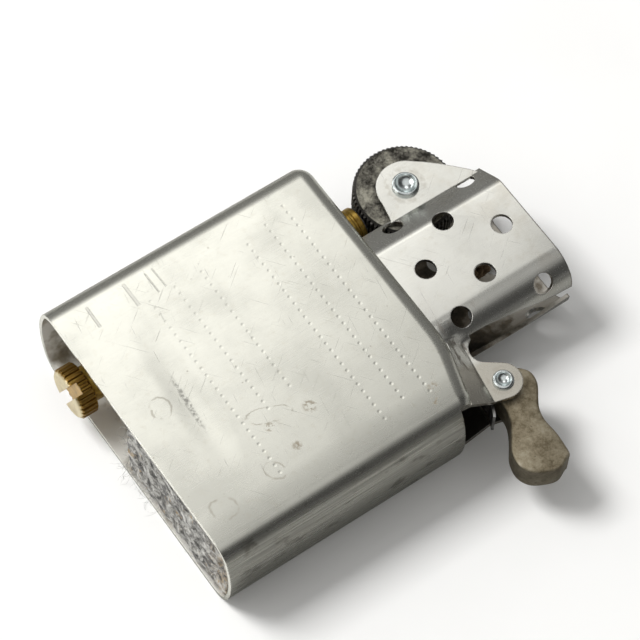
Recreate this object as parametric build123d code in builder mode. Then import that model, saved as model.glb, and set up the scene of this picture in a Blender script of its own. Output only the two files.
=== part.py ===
from build123d import *
import math
import os

# Inner unit of a flip-lid windproof petrol lighter: drawn steel can, folded
# chimney, spark wheel, flint feed, sprung cam and the soft fuel filling.
# Frame: origin at the centre of the can's open bottom rim, +Z up through the
# chimney, +X towards the cam, -X towards the spark wheel, broad faces on +-Y.
# Everything is in millimetres, angles in degrees.

os.makedirs("parts", exist_ok=True)

# ---- driving dimensions ----------------------------------------------------
SHEET = 0.45            # sheet thickness of can and chimney
FIT = 0.02              # play of openings in the sheet round what they take
RUN = 0.05              # radial running clearance of pins and plungers

CAN_W = 36.0            # broad width
CAN_T = 11.6            # thickness between the two broad faces
CAN_H = 33.2            # rim to top deck
CAN_CORNER_R = 2.3      # upright corner radius
CAN_SIDE_R = 12.0       # bow of the narrow sides
CAN_TOP_R = 1.8         # draw radius round the deck
SLOPE = 0.297           # fall of the deck towards the cam, mm per mm
SLOPE_X = 9.6           # where the falling part would start if unrounded
SLOPE_BEND = 2.1        # half length of the rounded change of slope

CHIMNEY_HALF = 4.69         # outer half width
CHIMNEY_CAM_X = 9.7         # cam end
CHIMNEY_WHEEL_X = -7.8      # wheel end
CHIMNEY_TOP = 49.5
CHIMNEY_FLOOR = 32.72       # top of the floor plate, under the deck

WHEEL_X, WHEEL_Z = -9.72, 41.48
WHEEL_R = 5.70
WHEEL_W = 3.9
WHEEL_PIN_R = 1.10
WHEEL_EAR_Y = 2.60          # outer face of the wheel ears

CAM_X, CAM_Z = 15.3, 36.05  # cam pivot
CAM_W = 3.4
CAM_PIN_R = 0.80
CAM_EAR_Y = 2.70            # outer face of the cam ears

TUBE_X = -9.75              # axis of the flint feed
TUBE_R = 2.05
TUBE_BORE_R = 1.30

WICK_X = 1.45               # axis of the wick in the chimney


# ---- shared helpers --------------------------------------------------------
def save(name, part):
    part.label = name
    export_step(part, f"parts/{name}.step")


def across(x, z, y=0, facing=-1):
    """Plane square to Y at a point, its normal towards +Y or -Y."""
    return Plane((x, y, z), x_dir=(1, 0, 0), z_dir=(0, facing, 0))


def on_tube_axis(part):
    """Move a part modelled about the Z axis onto the flint tube's axis."""
    with BuildPart() as placed:
        add(Location((TUBE_X, 0, 0)) * part)
    return placed.part


def toothed_ring(count, tooth):
    """Points of a toothed outline; tooth lists (fraction of pitch, radius)."""
    points = []
    for i in range(count):
        for fraction, radius in tooth:
            angle = 2 * math.pi * (i + fraction) / count
            points.append((radius * math.cos(angle), radius * math.sin(angle)))
    return points


def can_section(inset):
    """Plan section of the can: flat broad faces, small corner arcs and
    shallow bowed narrow sides, all drawn inwards by inset."""
    corner_r = CAN_CORNER_R - inset
    side_r = CAN_SIDE_R - inset
    # arc centres, then the angle at which corner and side arcs meet
    side_x = CAN_W / 2 - CAN_SIDE_R
    corner_y = CAN_T / 2 - CAN_CORNER_R
    offset_x = math.sqrt((CAN_SIDE_R - CAN_CORNER_R) ** 2 - corner_y**2)
    corner_x = side_x + offset_x
    join = math.atan2(corner_y, offset_x)
    middle = (join + math.pi / 2) / 2
    flat_y = corner_y + corner_r
    join_x = side_x + side_r * math.cos(join)
    join_y = side_r * math.sin(join)
    mid_x = corner_x + corner_r * math.cos(middle)
    mid_y = corner_y + corner_r * math.sin(middle)
    end_x = side_x + side_r
    with BuildSketch() as section:
        with BuildLine():
            Line((-corner_x, flat_y), (corner_x, flat_y))
            ThreePointArc((corner_x, flat_y), (mid_x, mid_y), (join_x, join_y))
            ThreePointArc((join_x, join_y), (end_x, 0), (join_x, -join_y))
            ThreePointArc((join_x, -join_y), (mid_x, -mid_y), (corner_x, -flat_y))
            Line((corner_x, -flat_y), (-corner_x, -flat_y))
            ThreePointArc((-corner_x, -flat_y), (-mid_x, -mid_y), (-join_x, -join_y))
            ThreePointArc((-join_x, -join_y), (-end_x, 0), (-join_x, join_y))
            ThreePointArc((-join_x, join_y), (-mid_x, mid_y), (-corner_x, flat_y))
        make_face()
    return section.sketch


# ---- insert can ------------------------------------------------------------
OPENING_X0, OPENING_X1 = -7.2, 20   # deck opening; its wheel end stops short of the tube
OPENING_R = 2.1
CUT_Z = 29.4                        # height to which the cam end is cut down
CUT_OUTLINE = ((16.4, CUT_Z), (20, CUT_Z), (20, 36), (16.6, 36))    # x, z
CUT_SLOT_X, CUT_SLOT_L = 15, 8      # middle and length of the slot along X
DECK_CUT_Z, DECK_CUT_H = 30, 6      # start and height of cuts through the deck


def cup(inset, base_z):
    """Solid of the can drawn inwards by inset: flat deck, falling end
    towards the cam, rounded all round its top."""
    fall = math.atan(SLOPE)
    bend_r = SLOPE_BEND / math.tan(fall / 2)
    top = CAN_H - inset
    bend_x, bend_z = SLOPE_X - SLOPE_BEND, CAN_H - bend_r    # centre of the bend
    radius = bend_r - inset
    start, middle, end = [
        (bend_x + radius * math.sin(turn), bend_z + radius * math.cos(turn))
        for turn in (0, fall / 2, fall)
    ]
    beyond = (end[0] + 12, end[1] - 12 * SLOPE)
    with BuildPart() as body:
        with BuildSketch(Plane.XY.offset(base_z)):
            add(can_section(inset))
        extrude(amount=top - base_z)
        with BuildSketch(Plane.XZ):
            with BuildLine():
                Line((bend_x, top + 5), start)
                ThreePointArc(start, middle, end)
                Line(end, beyond)
                Line(beyond, (beyond[0], top + 5))
                Line((beyond[0], top + 5), (bend_x, top + 5))
            make_face()
        extrude(amount=CAN_T, both=True, mode=Mode.SUBTRACT)
        # round the outer rim, leaving out edges shared by two deck faces
        deck_edges = [
            edge
            for face in body.faces()
            if face.normal_at().Z > 0.9
            for edge in face.edges()
        ]
        rim = [
            edge
            for edge in deck_edges
            if sum((edge @ 0.5 - other @ 0.5).length < 1e-4 for other in deck_edges) == 1
        ]
        fillet(rim, CAN_TOP_R - inset)
    return body.part


def insert_can():
    with BuildPart() as can:
        add(cup(0, 0))
        add(cup(SHEET, -2.0), mode=Mode.SUBTRACT)
        # opening in the deck that takes the chimney
        with BuildSketch(Plane.XY.offset(DECK_CUT_Z)):
            with Locations(((OPENING_X0 + OPENING_X1) / 2, 0)):
                RectangleRounded(
                    OPENING_X1 - OPENING_X0, 2 * (CHIMNEY_HALF + FIT), OPENING_R
                )
        extrude(amount=DECK_CUT_H, mode=Mode.SUBTRACT)
        # cam end: both corners and the narrow side are cut down
        with BuildSketch(Plane.XZ):
            with BuildLine():
                Polyline(*CUT_OUTLINE, close=True)
            make_face()
        extrude(amount=CAN_T, both=True, mode=Mode.SUBTRACT)
        with BuildSketch(Plane.XY.offset(CUT_Z)):
            with Locations((CUT_SLOT_X, 0)):
                Rectangle(CUT_SLOT_L, 2 * (CHIMNEY_HALF + FIT))
        extrude(amount=DECK_CUT_H, mode=Mode.SUBTRACT)
        # flint tube hole
        with BuildSketch(Plane.XY.offset(DECK_CUT_Z)):
            with Locations((TUBE_X, 0)):
                Circle(TUBE_R + FIT)
        extrude(amount=DECK_CUT_H, mode=Mode.SUBTRACT)
    return can.part


# ---- chimney ---------------------------------------------------------------
# One folded sheet: a floor under the deck, two perforated walls whose upright
# ends wrap round towards the middle, a pair of ears for the spark wheel, and
# a pair of joggled ears for the cam.
BEND_X = -3.70          # where the broad walls turn in towards the wheel ears
BEND_TURN = 34.2        # how far they turn
BEND_R = 1.8
SLANT_END_Y = 1.9       # half width where the slanted walls end
CORNER_R = 3.5          # upright corner radius, cam side
END_BOW = 0.12          # bow of the cam end
WALL_X0 = -7.15         # the slanted walls are cut off here
NOTCH_X, NOTCH_Z = 6.7, 36.0    # below and beyond this the ears replace the wall

# gap between the wrapped edges of the cam end: half width, z
CAM_END_GAP = (
    (3.05, CHIMNEY_FLOOR - 1), (3.05, 38.0), (2.45, 42.5),
    (1.75, 45.2), (1.25, 47.6), (1.0, CHIMNEY_TOP + 1),
)

TONGUE_X, TONGUE_L, TONGUE_W = -10.5, 9.0, 6.4      # middle, length, width
WICK_HOLE_R = 2.2

HOLE_R = 2.35 / 2       # vent holes
PUNCH_REACH = 1.6       # reach of a vent punch each side of the wall
# holes through both broad walls: x, z
FLAT_HOLES = ((0.86, 36.40), (0.86, 46.39), (-2.95, 41.39), (4.67, 41.39))
# holes on the -Y side, mirrored to +Y: x, y, z and the turn of their axis
# away from the broad wall's normal, towards +X
SLANT_HOLES = ((-5.97, -3.15, 37.07, -34.2), (-6.46, -2.81, 46.96, -34.2))
CORNER_HOLES = ((7.47, -4.41, 36.25, 23.0), (8.74, -3.49, 46.15, 49.0))

# wheel ear: a disc joined to an outline of x, z
WHEEL_EAR_IN = WHEEL_EAR_Y - SHEET
WHEEL_EAR_CENTRE, WHEEL_EAR_R = (-9.4, 41.5), 3.4
WHEEL_EAR_OUTLINE = (
    (-12.25, 43.35), (-11.07, 44.86), (-9.89, 46.20), (-8.58, 47.50), (-7.50, 48.50),
    (-6.70, 49.10), (-6.70, 37.45), (-7.30, 37.70), (-9.30, 38.10),
)

# joggled cam ear
CAM_EAR_R = 2.1
JOG_CORNER_X = (6.9, 7.3, 7.7, 8.1, 8.5, 8.8, 9.0)  # stations on the corner
JOG_X = 9.0                         # where the joggle leaves the corner
JOG_RUN = 1.3                       # its length along X
JOG_STEPS = (0.2, 0.4, 0.6, 0.8, 1.0)
EAR_FLAT_X = (12.0, 17.6)           # stations on the flat ear
JOG_LOW_Y = 4.60                    # outer y of the lower strip beyond JOG_X
JOG_TOP_Z = 39.0
LOW_STRIP_H = 1.3
FOLD_DROP = 0.12                    # fall of the fold through the sheet
EAR_X0, EAR_Z0, EAR_Z1 = 6.95, 29.6, 36.05  # chimney end, bottom and top of the ear


def chimney_section(inset):
    """Plan outline of the chimney: towards the wheel the walls turn in on a
    slant to meet the ears, towards the cam the corners are round and the end
    is slightly bowed."""
    end_x = CHIMNEY_CAM_X - inset
    half = CHIMNEY_HALF - inset
    corner_r = CORNER_R - inset
    turn = math.radians(BEND_TURN)
    bend_r = BEND_R - inset
    vertex_x = BEND_X + inset * math.tan(turn / 2)  # where the two flats meet
    run = bend_r * math.tan(turn / 2)               # tangent length of the bend
    mid = bend_r * math.sin(turn / 2)
    drop = bend_r * (1 - math.cos(turn / 2))
    slant_x = vertex_x - (half - SLANT_END_Y) / math.tan(turn)
    flat_x, flat_y = end_x - corner_r, half - corner_r      # corner centre
    mid_x = flat_x + corner_r * math.sqrt(0.5)
    mid_y = flat_y + corner_r * math.sqrt(0.5)
    with BuildSketch() as section:
        with BuildLine():
            Line((vertex_x + run, -half), (flat_x, -half))
            ThreePointArc((flat_x, -half), (mid_x, -mid_y), (end_x, -flat_y))
            ThreePointArc((end_x, -flat_y), (end_x + END_BOW, 0), (end_x, flat_y))
            ThreePointArc((end_x, flat_y), (mid_x, mid_y), (flat_x, half))
            Line((flat_x, half), (vertex_x + run, half))
            for side in (1, -1):
                bend_start = (vertex_x + run, side * half)
                bend_mid = (vertex_x + run - mid, side * (half - drop))
                bend_end = (
                    vertex_x - run * math.cos(turn),
                    side * (half - run * math.sin(turn)),
                )
                ThreePointArc(bend_start, bend_mid, bend_end)
                Line(bend_end, (slant_x, side * SLANT_END_Y))
            Line((slant_x, SLANT_END_Y), (slant_x, -SLANT_END_Y))
        make_face()
    return section.sketch


def jog_stations():
    """Stations along X with the outer y of the ear's upper part, which
    follows the chimney corner and then runs smoothly into the flat ear."""
    centre_x, centre_y = CHIMNEY_CAM_X - CORNER_R, CHIMNEY_HALF - CORNER_R
    stations = [
        (x, centre_y + math.sqrt(CORNER_R**2 - (x - centre_x) ** 2)) for x in JOG_CORNER_X
    ]
    start_y = stations[-1][1]
    start_slope = -(JOG_X - centre_x) / (start_y - centre_y)
    # cubic that starts along the corner and ends level with the flat ear
    for t in JOG_STEPS:
        y = (
            start_y * (2 * t**3 - 3 * t**2 + 1)
            + start_slope * JOG_RUN * (t**3 - 2 * t**2 + t)
            + CAM_EAR_Y * (3 * t**2 - 2 * t**3)
        )
        stations.append((JOG_X + JOG_RUN * t, y))
    return stations + [(x, CAM_EAR_Y) for x in EAR_FLAT_X]


def jog_section(x, upper_y):
    """Sheet strip across the joggle at station x, on the -Y side."""
    fold_z = 34.6 - 0.155 * (x - 11.7)
    deck_z = CAN_H - 0.15 - max(0.0, SLOPE * (x - SLOPE_X))
    low_y = CHIMNEY_HALF if x < JOG_X else JOG_LOW_Y
    with BuildSketch(Plane.YZ.offset(x)) as section:
        with BuildLine():
            Polyline(
                (-low_y, deck_z - LOW_STRIP_H),
                (-low_y, deck_z),
                (-upper_y, fold_z),
                (-upper_y, JOG_TOP_Z),
                (-upper_y + SHEET, JOG_TOP_Z),
                (-upper_y + SHEET, fold_z - FOLD_DROP),
                (-low_y + SHEET, deck_z - FOLD_DROP),
                (-low_y + SHEET, deck_z - LOW_STRIP_H),
                close=True,
            )
        make_face()
    return section.sketch


def cam_ear():
    """Joggled ear on the -Y side."""
    round_start, round_mid, round_end = [
        (
            CAM_X + CAM_EAR_R * math.cos(math.radians(angle)),
            CAM_Z + CAM_EAR_R * math.sin(math.radians(angle)),
        )
        for angle in (144, 66, -12)
    ]
    with BuildPart() as ear:
        for x, upper_y in jog_stations():
            add(jog_section(x, upper_y))
        loft(ruled=True)
        # outline of the ear seen along Y
        with BuildSketch(Plane.XZ):
            with BuildLine():
                Polyline((EAR_X0, EAR_Z0), (EAR_X0, EAR_Z1), (9.55, EAR_Z1))
                ThreePointArc((9.55, EAR_Z1), (11.1, 35.02), (12.3, 35.5))
                Line((12.3, 35.5), round_start)
                ThreePointArc(round_start, round_mid, round_end)
                Polyline(
                    round_end, (16.85, 33.7), (16.5, 31.0), (16.35, EAR_Z0), (EAR_X0, EAR_Z0)
                )
            make_face()
        extrude(amount=8, both=True, mode=Mode.INTERSECT)
        # pin hole
        with BuildSketch(Plane.XZ):
            with Locations((CAM_X, CAM_Z)):
                Circle(CAM_PIN_R + FIT)
        extrude(amount=8, both=True, mode=Mode.SUBTRACT)
    return ear.part


def vent(x, y, z, turn, side):
    """Punch for one vent hole, square to the wall at that point; side 1
    takes the table's y as it is, -1 mirrors it."""
    out_x = math.sin(math.radians(turn))
    out_y = -side * math.cos(math.radians(turn))
    start = (x - PUNCH_REACH * out_x, side * y - PUNCH_REACH * out_y, z)
    with BuildPart(mode=Mode.PRIVATE) as punch:
        with BuildSketch(Plane(start, z_dir=(out_x, out_y, 0))):
            Circle(HOLE_R)
        extrude(amount=2 * PUNCH_REACH)
    return punch.part


def chimney():
    floor_plane = Plane.XY.offset(CHIMNEY_FLOOR - SHEET)
    ear_part = cam_ear()
    with BuildPart() as body:
        with BuildSketch(floor_plane):
            add(chimney_section(0))
            add(chimney_section(SHEET), mode=Mode.SUBTRACT)
            # the wheel end is open between the wrapped edges
            with Locations((CHIMNEY_WHEEL_X, 0)):
                Rectangle(4, 2 * WHEEL_EAR_IN, mode=Mode.SUBTRACT)
            with Locations((WALL_X0 - 2, 0)):
                Rectangle(4, 12, mode=Mode.SUBTRACT)
        extrude(amount=CHIMNEY_TOP - CHIMNEY_FLOOR + SHEET)
        # the cam end is open too, its wrapped edges leaning together upwards
        with BuildSketch(Plane.YZ.offset(CHIMNEY_CAM_X - 1.4)):
            with BuildLine():
                Polyline(
                    *[(-y, z) for y, z in CAM_END_GAP],
                    *reversed(CAM_END_GAP),
                    close=True,
                )
            make_face()
        extrude(amount=4, mode=Mode.SUBTRACT)
        # below the notch the cam-side corner belongs to the joggled ear
        with BuildSketch(floor_plane):
            with Locations((NOTCH_X + 3.3, 0)):
                Rectangle(6.6, 2 * CHIMNEY_HALF + 2)
            with Locations((NOTCH_X + 3.3, 0)):
                Rectangle(6, 2 * CHIMNEY_HALF + 2, mode=Mode.REPLACE)
        extrude(amount=NOTCH_Z - CHIMNEY_FLOOR + SHEET, mode=Mode.SUBTRACT)
        # floor plate with its tongue under the deck
        with BuildSketch(floor_plane):
            add(chimney_section(0.1))
            with Locations((CHIMNEY_CAM_X, 0)):
                Rectangle(0.8, 12, mode=Mode.SUBTRACT)
            with Locations((TONGUE_X, 0)):
                Rectangle(TONGUE_L, TONGUE_W)
            with Locations((TUBE_X, 0)):
                Circle(TUBE_R + FIT, mode=Mode.SUBTRACT)
            with Locations((WICK_X, 0)):
                Circle(WICK_HOLE_R, mode=Mode.SUBTRACT)
        extrude(amount=SHEET)
        # vent holes in the slanted walls, cut before the ears are joined on
        for hole in SLANT_HOLES:
            for side in (1, -1):
                add(vent(*hole, side), mode=Mode.SUBTRACT)
        # wheel ears, teardrop shaped, on the edges of the wheel-side opening
        with BuildSketch(Plane.XZ.offset(WHEEL_EAR_IN)) as wheel_ear:
            with Locations(WHEEL_EAR_CENTRE):
                Circle(WHEEL_EAR_R)
            with BuildLine():
                Polyline(*WHEEL_EAR_OUTLINE, close=True)
            make_face()
            with Locations((WHEEL_X, WHEEL_Z)):
                Circle(WHEEL_PIN_R + FIT, mode=Mode.SUBTRACT)
        extrude(amount=SHEET)
        with BuildSketch(Plane.XZ.offset(-WHEEL_EAR_IN)):
            add(wheel_ear.sketch)
        extrude(amount=-SHEET)
        add(ear_part)
        add(mirror(ear_part, about=Plane.XZ, mode=Mode.PRIVATE))
        # the other vent holes: those in the broad walls go straight through,
        # the ones on the round corners stand square to them
        with BuildSketch(Plane.XZ):
            with Locations(*FLAT_HOLES):
                Circle(HOLE_R)
        extrude(amount=8, both=True, mode=Mode.SUBTRACT)
        for hole in CORNER_HOLES:
            for side in (1, -1):
                add(vent(*hole, side), mode=Mode.SUBTRACT)
    return body.part


# ---- rivets ----------------------------------------------------------------
def rivet(x, z, ear_y, shank_r, head_r, head_t, dish_r, dish_out):
    """Rivet along Y: shank through both ears and, outside each, a low head
    with a thin rounded rim round a spherical dish of radius dish_r at the
    face, its centre dish_out beyond it."""
    with BuildPart() as body:
        with BuildSketch(across(x, z, facing=1)):
            Circle(shank_r)
        extrude(amount=ear_y, both=True)
        for side in (1, -1):
            with BuildSketch(across(x, z, y=side * ear_y, facing=side)):
                Circle(head_r)
            extrude(amount=head_t)
            ring = body.edges().filter_by(GeomType.CIRCLE).filter_by(
                lambda edge: abs(edge.radius - head_r) < 1e-6
                and abs((edge @ 0).Y - side * (ear_y + head_t)) < 1e-6
            )
            fillet(ring, (head_r - dish_r) * 0.9)
            with Locations((x, side * (ear_y + head_t + dish_out), z)):
                Sphere(math.hypot(dish_r, dish_out), mode=Mode.SUBTRACT)
    return body.part


# ---- spark wheel -----------------------------------------------------------
WHEEL_TEETH = 66
TOOTH_DEPTH = 0.28
RIM_CHAMFER = 0.45
RIM_SPARE = 0.02        # turned envelopes stand this far outside the teeth


def spark_wheel():
    """Wheel with one row of saw teeth, plain faces and chamfered tooth ends."""
    half = WHEEL_W / 2
    root_r = WHEEL_R - TOOTH_DEPTH
    teeth = toothed_ring(WHEEL_TEETH, ((0.0, WHEEL_R), (0.22, WHEEL_R), (0.60, root_r)))
    with BuildPart() as turned:
        with BuildSketch(Plane.XY):
            with BuildLine():
                Polyline(
                    (0, -half),
                    (WHEEL_R - RIM_CHAMFER, -half),
                    (WHEEL_R + RIM_SPARE, -half + RIM_CHAMFER),
                    (WHEEL_R + RIM_SPARE, half - RIM_CHAMFER),
                    (WHEEL_R - RIM_CHAMFER, half),
                    (0, half),
                    close=True,
                )
            make_face()
        revolve(axis=Axis.Y)
    with BuildPart() as wheel:
        with BuildSketch(across(WHEEL_X, WHEEL_Z)):
            with BuildLine():
                Polyline(*teeth, close=True)
            make_face()
            Circle(WHEEL_PIN_R + RUN, mode=Mode.SUBTRACT)
        extrude(amount=half, both=True)
        with Locations((WHEEL_X, 0, WHEEL_Z)):
            add(turned.part, mode=Mode.INTERSECT)
    return wheel.part


# ---- cam -------------------------------------------------------------------
# Shown open: the arm points away from the chimney and droops a little. The
# heel is round except for two flats, one below and one towards the chimney.
HEEL_FLAT = 1.33        # distance of both flats from the pivot
HEEL_R = 0.58           # corner radius between them
CAM_EDGE_R = 0.22
# curves of the outline: points (x, z from the pivot), start and end tangents
CAM_CURVES = (
    # underside of the arm
    (((1.9, -HEEL_FLAT), (3.3, -1.57), (4.5, -2.20), (6.05, -3.35), (7.5, -4.0)),
     (1, 0), (1, -0.25)),
    # round the tip
    (((7.5, -4.0), (8.75, -4.02), (9.95, -3.32), (10.72, -2.0),
      (11.02, -0.5), (10.5, 0.70), (9.3, 1.25)),
     (1, -0.25), (-1, 0.1)),
    # back along the top
    (((9.3, 1.25), (7.4, 1.38), (5.6, 1.30), (4.2, 1.68),
      (2.9, 2.55), (2.0, 3.15), (0.9, 3.45)),
     (-1, 0.1), (-1, 0.1)),
    # down the chimney side
    (((0.9, 3.45), (-0.4, 2.95), (-HEEL_FLAT, 0.6)), (-1, 0.1), (0, -1)),
)


def cam():
    centre = HEEL_FLAT - HEEL_R
    middle = centre + HEEL_R * math.sqrt(0.5)
    with BuildPart() as body:
        with BuildSketch(across(CAM_X, CAM_Z)):
            with BuildLine():
                Line((-centre, -HEEL_FLAT), (1.9, -HEEL_FLAT))
                for points, start, end in CAM_CURVES:
                    Spline(*points, tangents=(start, end))
                Line((-HEEL_FLAT, 0.6), (-HEEL_FLAT, -centre))
                ThreePointArc(
                    (-HEEL_FLAT, -centre), (-middle, -middle), (-centre, -HEEL_FLAT)
                )
            make_face()
        extrude(amount=CAM_W / 2, both=True)
        fillet(
            body.edges().filter_by(
                lambda edge: abs(abs(edge.center().Y) - CAM_W / 2) < 1e-6
            ),
            CAM_EDGE_R,
        )
        with BuildSketch(across(CAM_X, CAM_Z)):
            Circle(CAM_PIN_R + RUN)
        extrude(amount=CAM_W, both=True, mode=Mode.SUBTRACT)
    return body.part


# ---- cam spring ------------------------------------------------------------
STRIP_T = 0.28
STRIP_W = 3.0
STRIP_X0 = 4.4          # end under the chimney floor
STRIP_LINE = (
    # x, centre z, slope of the strip there
    (9.4, 32.10, 0.0), (11.4, 32.84, 0.42), (13.4, 33.74, 0.34),
    (15.2, 34.02, 0.0), (16.6, 33.80, -0.34), (17.8, 33.20, -0.66),
)
STRIP_TANGENTS = ((1, 0), (0.83, -0.55))


def cam_spring():
    """Flat strip under the chimney floor, rising to a hump below the cam
    heel, its free end turned down."""
    upper, lower = [], []
    for x, z, slope in STRIP_LINE:
        rise = STRIP_T / 2 / math.sqrt(1 + slope * slope)
        upper.append((x - rise * slope, z + rise))
        lower.append((x + rise * slope, z - rise))
    upper_end, lower_end = (STRIP_X0, upper[0][1]), (STRIP_X0, lower[0][1])
    with BuildPart() as strip:
        with BuildSketch(Plane.XZ):
            with BuildLine():
                Line(upper_end, upper[0])
                Spline(*upper, tangents=STRIP_TANGENTS)
                Line(upper[-1], lower[-1])
                Spline(*lower, tangents=STRIP_TANGENTS)
                Line(lower[0], lower_end)
                Line(lower_end, upper_end)
            make_face()
        extrude(amount=STRIP_W / 2, both=True)
    return strip.part


# ---- flint tube ------------------------------------------------------------
TUBE_Z0, TUBE_Z1 = 0.35, 35.3
TUBE_THREAD_R = 1.50
# half section, radius and z: bore, lip and collar at the top, plain outside,
# wider bore at the bottom for the screw
TUBE_PROFILE = (
    (TUBE_BORE_R, 6.6), (TUBE_BORE_R, TUBE_Z1),
    (TUBE_R + 0.05, TUBE_Z1), (TUBE_R + 0.12, TUBE_Z1 - 0.1),
    (TUBE_R + 0.12, 34.72), (TUBE_R - 0.02, 34.6),
    (TUBE_R - 0.02, 34.42), (TUBE_R + 0.22, 34.28),
    (TUBE_R + 0.22, 33.45), (TUBE_R + 0.1, 33.26),
    (TUBE_R, 33.26), (TUBE_R, TUBE_Z0 + 0.2),
    (TUBE_R - 0.2, TUBE_Z0), (TUBE_THREAD_R, TUBE_Z0), (TUBE_THREAD_R, 6.4),
)


def flint_tube():
    with BuildPart() as tube:
        with BuildSketch(Plane.XZ):
            with BuildLine():
                Polyline(*TUBE_PROFILE, close=True)
            make_face()
        revolve(axis=Axis.Z)
    return on_tube_axis(tube.part)


# ---- flint, its pusher and spring ------------------------------------------
FLINT_R = 1.20
FLINT_L = 5.0
FLINT_TOP = WHEEL_Z - WHEEL_R - 0.04
FLINT_WEAR_GAP = 0.10           # gap between wheel and worn hollow
PUSHER_TOP = FLINT_TOP - FLINT_L - 0.02
PUSHER_HEAD_T = 1.2
PUSHER_STEM_R = 0.62
PUSHER_L = 4.0
COIL_R, WIRE_R = 0.98, 0.17
COIL_Z0, COIL_Z1 = 6.75, PUSHER_TOP - 1.45
COILS = 21


def flint():
    with BuildPart() as body:
        with BuildSketch(Plane.XY.offset(FLINT_TOP - FLINT_L)):
            with Locations((TUBE_X, 0)):
                Circle(FLINT_R)
        extrude(amount=FLINT_L)
        # worn hollow where the wheel rides on it
        with BuildSketch(across(WHEEL_X, WHEEL_Z)):
            Circle(WHEEL_R + FLINT_WEAR_GAP)
        extrude(amount=3, both=True, mode=Mode.SUBTRACT)
    return body.part


def flint_pusher():
    with BuildPart() as pusher:
        with BuildSketch(Plane.XY.offset(PUSHER_TOP - PUSHER_HEAD_T)):
            with Locations((TUBE_X, 0)):
                Circle(TUBE_BORE_R - RUN)
        extrude(amount=PUSHER_HEAD_T)
        fillet(pusher.edges().group_by(Axis.Z)[-1], 0.25)
        # stem, reaching a little way into the head
        with BuildSketch(Plane.XY.offset(PUSHER_TOP - PUSHER_L)):
            with Locations((TUBE_X, 0)):
                Circle(PUSHER_STEM_R)
        extrude(amount=PUSHER_L - 1.0)
    return pusher.part


def flint_spring():
    height = COIL_Z1 - COIL_Z0
    start = (TUBE_X + COIL_R, 0, COIL_Z0)
    with BuildPart() as spring:
        with BuildLine():
            Helix(
                pitch=height / COILS,
                height=height,
                radius=COIL_R,
                center=(TUBE_X, 0, COIL_Z0),
            )
        with BuildSketch(Plane(start, x_dir=(1, 0, 0), z_dir=(0, 1, 0.18))):
            Circle(WIRE_R)
        sweep(is_frenet=True)
    return spring.part


# ---- flint screw -----------------------------------------------------------
HEAD_R = 2.95
HEAD_T = 2.1
HEAD_Z1 = 0.30
HEAD_Z0 = HEAD_Z1 - HEAD_T
KNURL_COUNT = 26
KNURL_R = HEAD_R - 0.26         # bottom of the knurl grooves
SCREW_R = 1.45
SCREW_ROOT_R = SCREW_R - 0.25
SCREW_PITCH = 0.5
SCREW_TURNS = 10
PILOT_R = 0.6
SLOT_L, SLOT_W, SLOT_DEPTH = 8, 1.35, 0.9
SLOT_ANGLE = -65.7


def flint_screw():
    knurl = toothed_ring(
        KNURL_COUNT, ((0.0, HEAD_R), (0.42, HEAD_R), (0.55, KNURL_R), (0.87, KNURL_R))
    )
    z = HEAD_Z1 + 0.25
    shank = [(0, HEAD_Z1 - 0.5), (SCREW_ROOT_R, HEAD_Z1 - 0.5), (SCREW_ROOT_R, z)]
    for _ in range(SCREW_TURNS):
        shank += [(SCREW_R, z + 0.20), (SCREW_R, z + 0.28), (SCREW_ROOT_R, z + SCREW_PITCH)]
        z += SCREW_PITCH
    shank += [
        (SCREW_ROOT_R, 5.75), (SCREW_R - 0.45, 6.0), (PILOT_R, 6.0), (PILOT_R, 6.6), (0, 6.6)
    ]
    with BuildPart() as turned:
        with BuildSketch(Plane.XZ):
            with BuildLine():
                Polyline(
                    (0, HEAD_Z0),
                    (HEAD_R - 0.32, HEAD_Z0),
                    (HEAD_R + RIM_SPARE, HEAD_Z0 + 0.34),
                    (HEAD_R + RIM_SPARE, HEAD_Z1 - 0.2),
                    (HEAD_R - 0.2, HEAD_Z1),
                    (0, HEAD_Z1),
                    close=True,
                )
            make_face()
        revolve(axis=Axis.Z)
    with BuildPart() as screw:
        # coarse straight-knurled head
        with BuildSketch(Plane.XY.offset(HEAD_Z0)):
            with BuildLine():
                Polyline(*knurl, close=True)
            make_face()
        extrude(amount=HEAD_T)
        add(turned.part, mode=Mode.INTERSECT)
        # shank with ring-shaped threads and a plain pilot
        with BuildSketch(Plane.XZ):
            with BuildLine():
                Polyline(*shank, close=True)
            make_face()
        revolve(axis=Axis.Z)
        # driver slot
        with BuildSketch(Plane.XY.offset(HEAD_Z0)):
            with Locations(Location((0, 0, 0), (0, 0, SLOT_ANGLE))):
                Rectangle(SLOT_L, SLOT_W)
        extrude(amount=SLOT_DEPTH, mode=Mode.SUBTRACT)
    return on_tube_axis(screw.part)


# ---- wick, its wires and the wadding ---------------------------------------
WICK_R = 1.55
WICK_TOP = 44.0
WICK_FOLD_R = 1.75
WICK_LINE = (
    # x, z of the unrounded centre line
    (WICK_X, WICK_TOP), (WICK_X, 29.0), (7.5, 25.5), (7.5, 22.5),
    (-2.0, 18.6), (-2.0, 15.6), (8.0, 11.8), (8.0, 6.6),
)
WICK_WIRE_Y = (-0.8, 0.0, 0.8)
WICK_WIRE_R = 0.14
WICK_WIRE_HOLE_R = 0.16

WADDING_W = 9.9
WADDING = (
    # low z, high z, low x, high x
    (3.5, 9.2, -6.8, 16.6),
    (9.5, 15.2, -16.4, 16.6),
    (15.5, 21.2, -16.4, 16.6),
    (21.5, 26.6, -16.4, 16.4),
    (26.9, 31.1, -16.0, 9.2),
)


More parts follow.
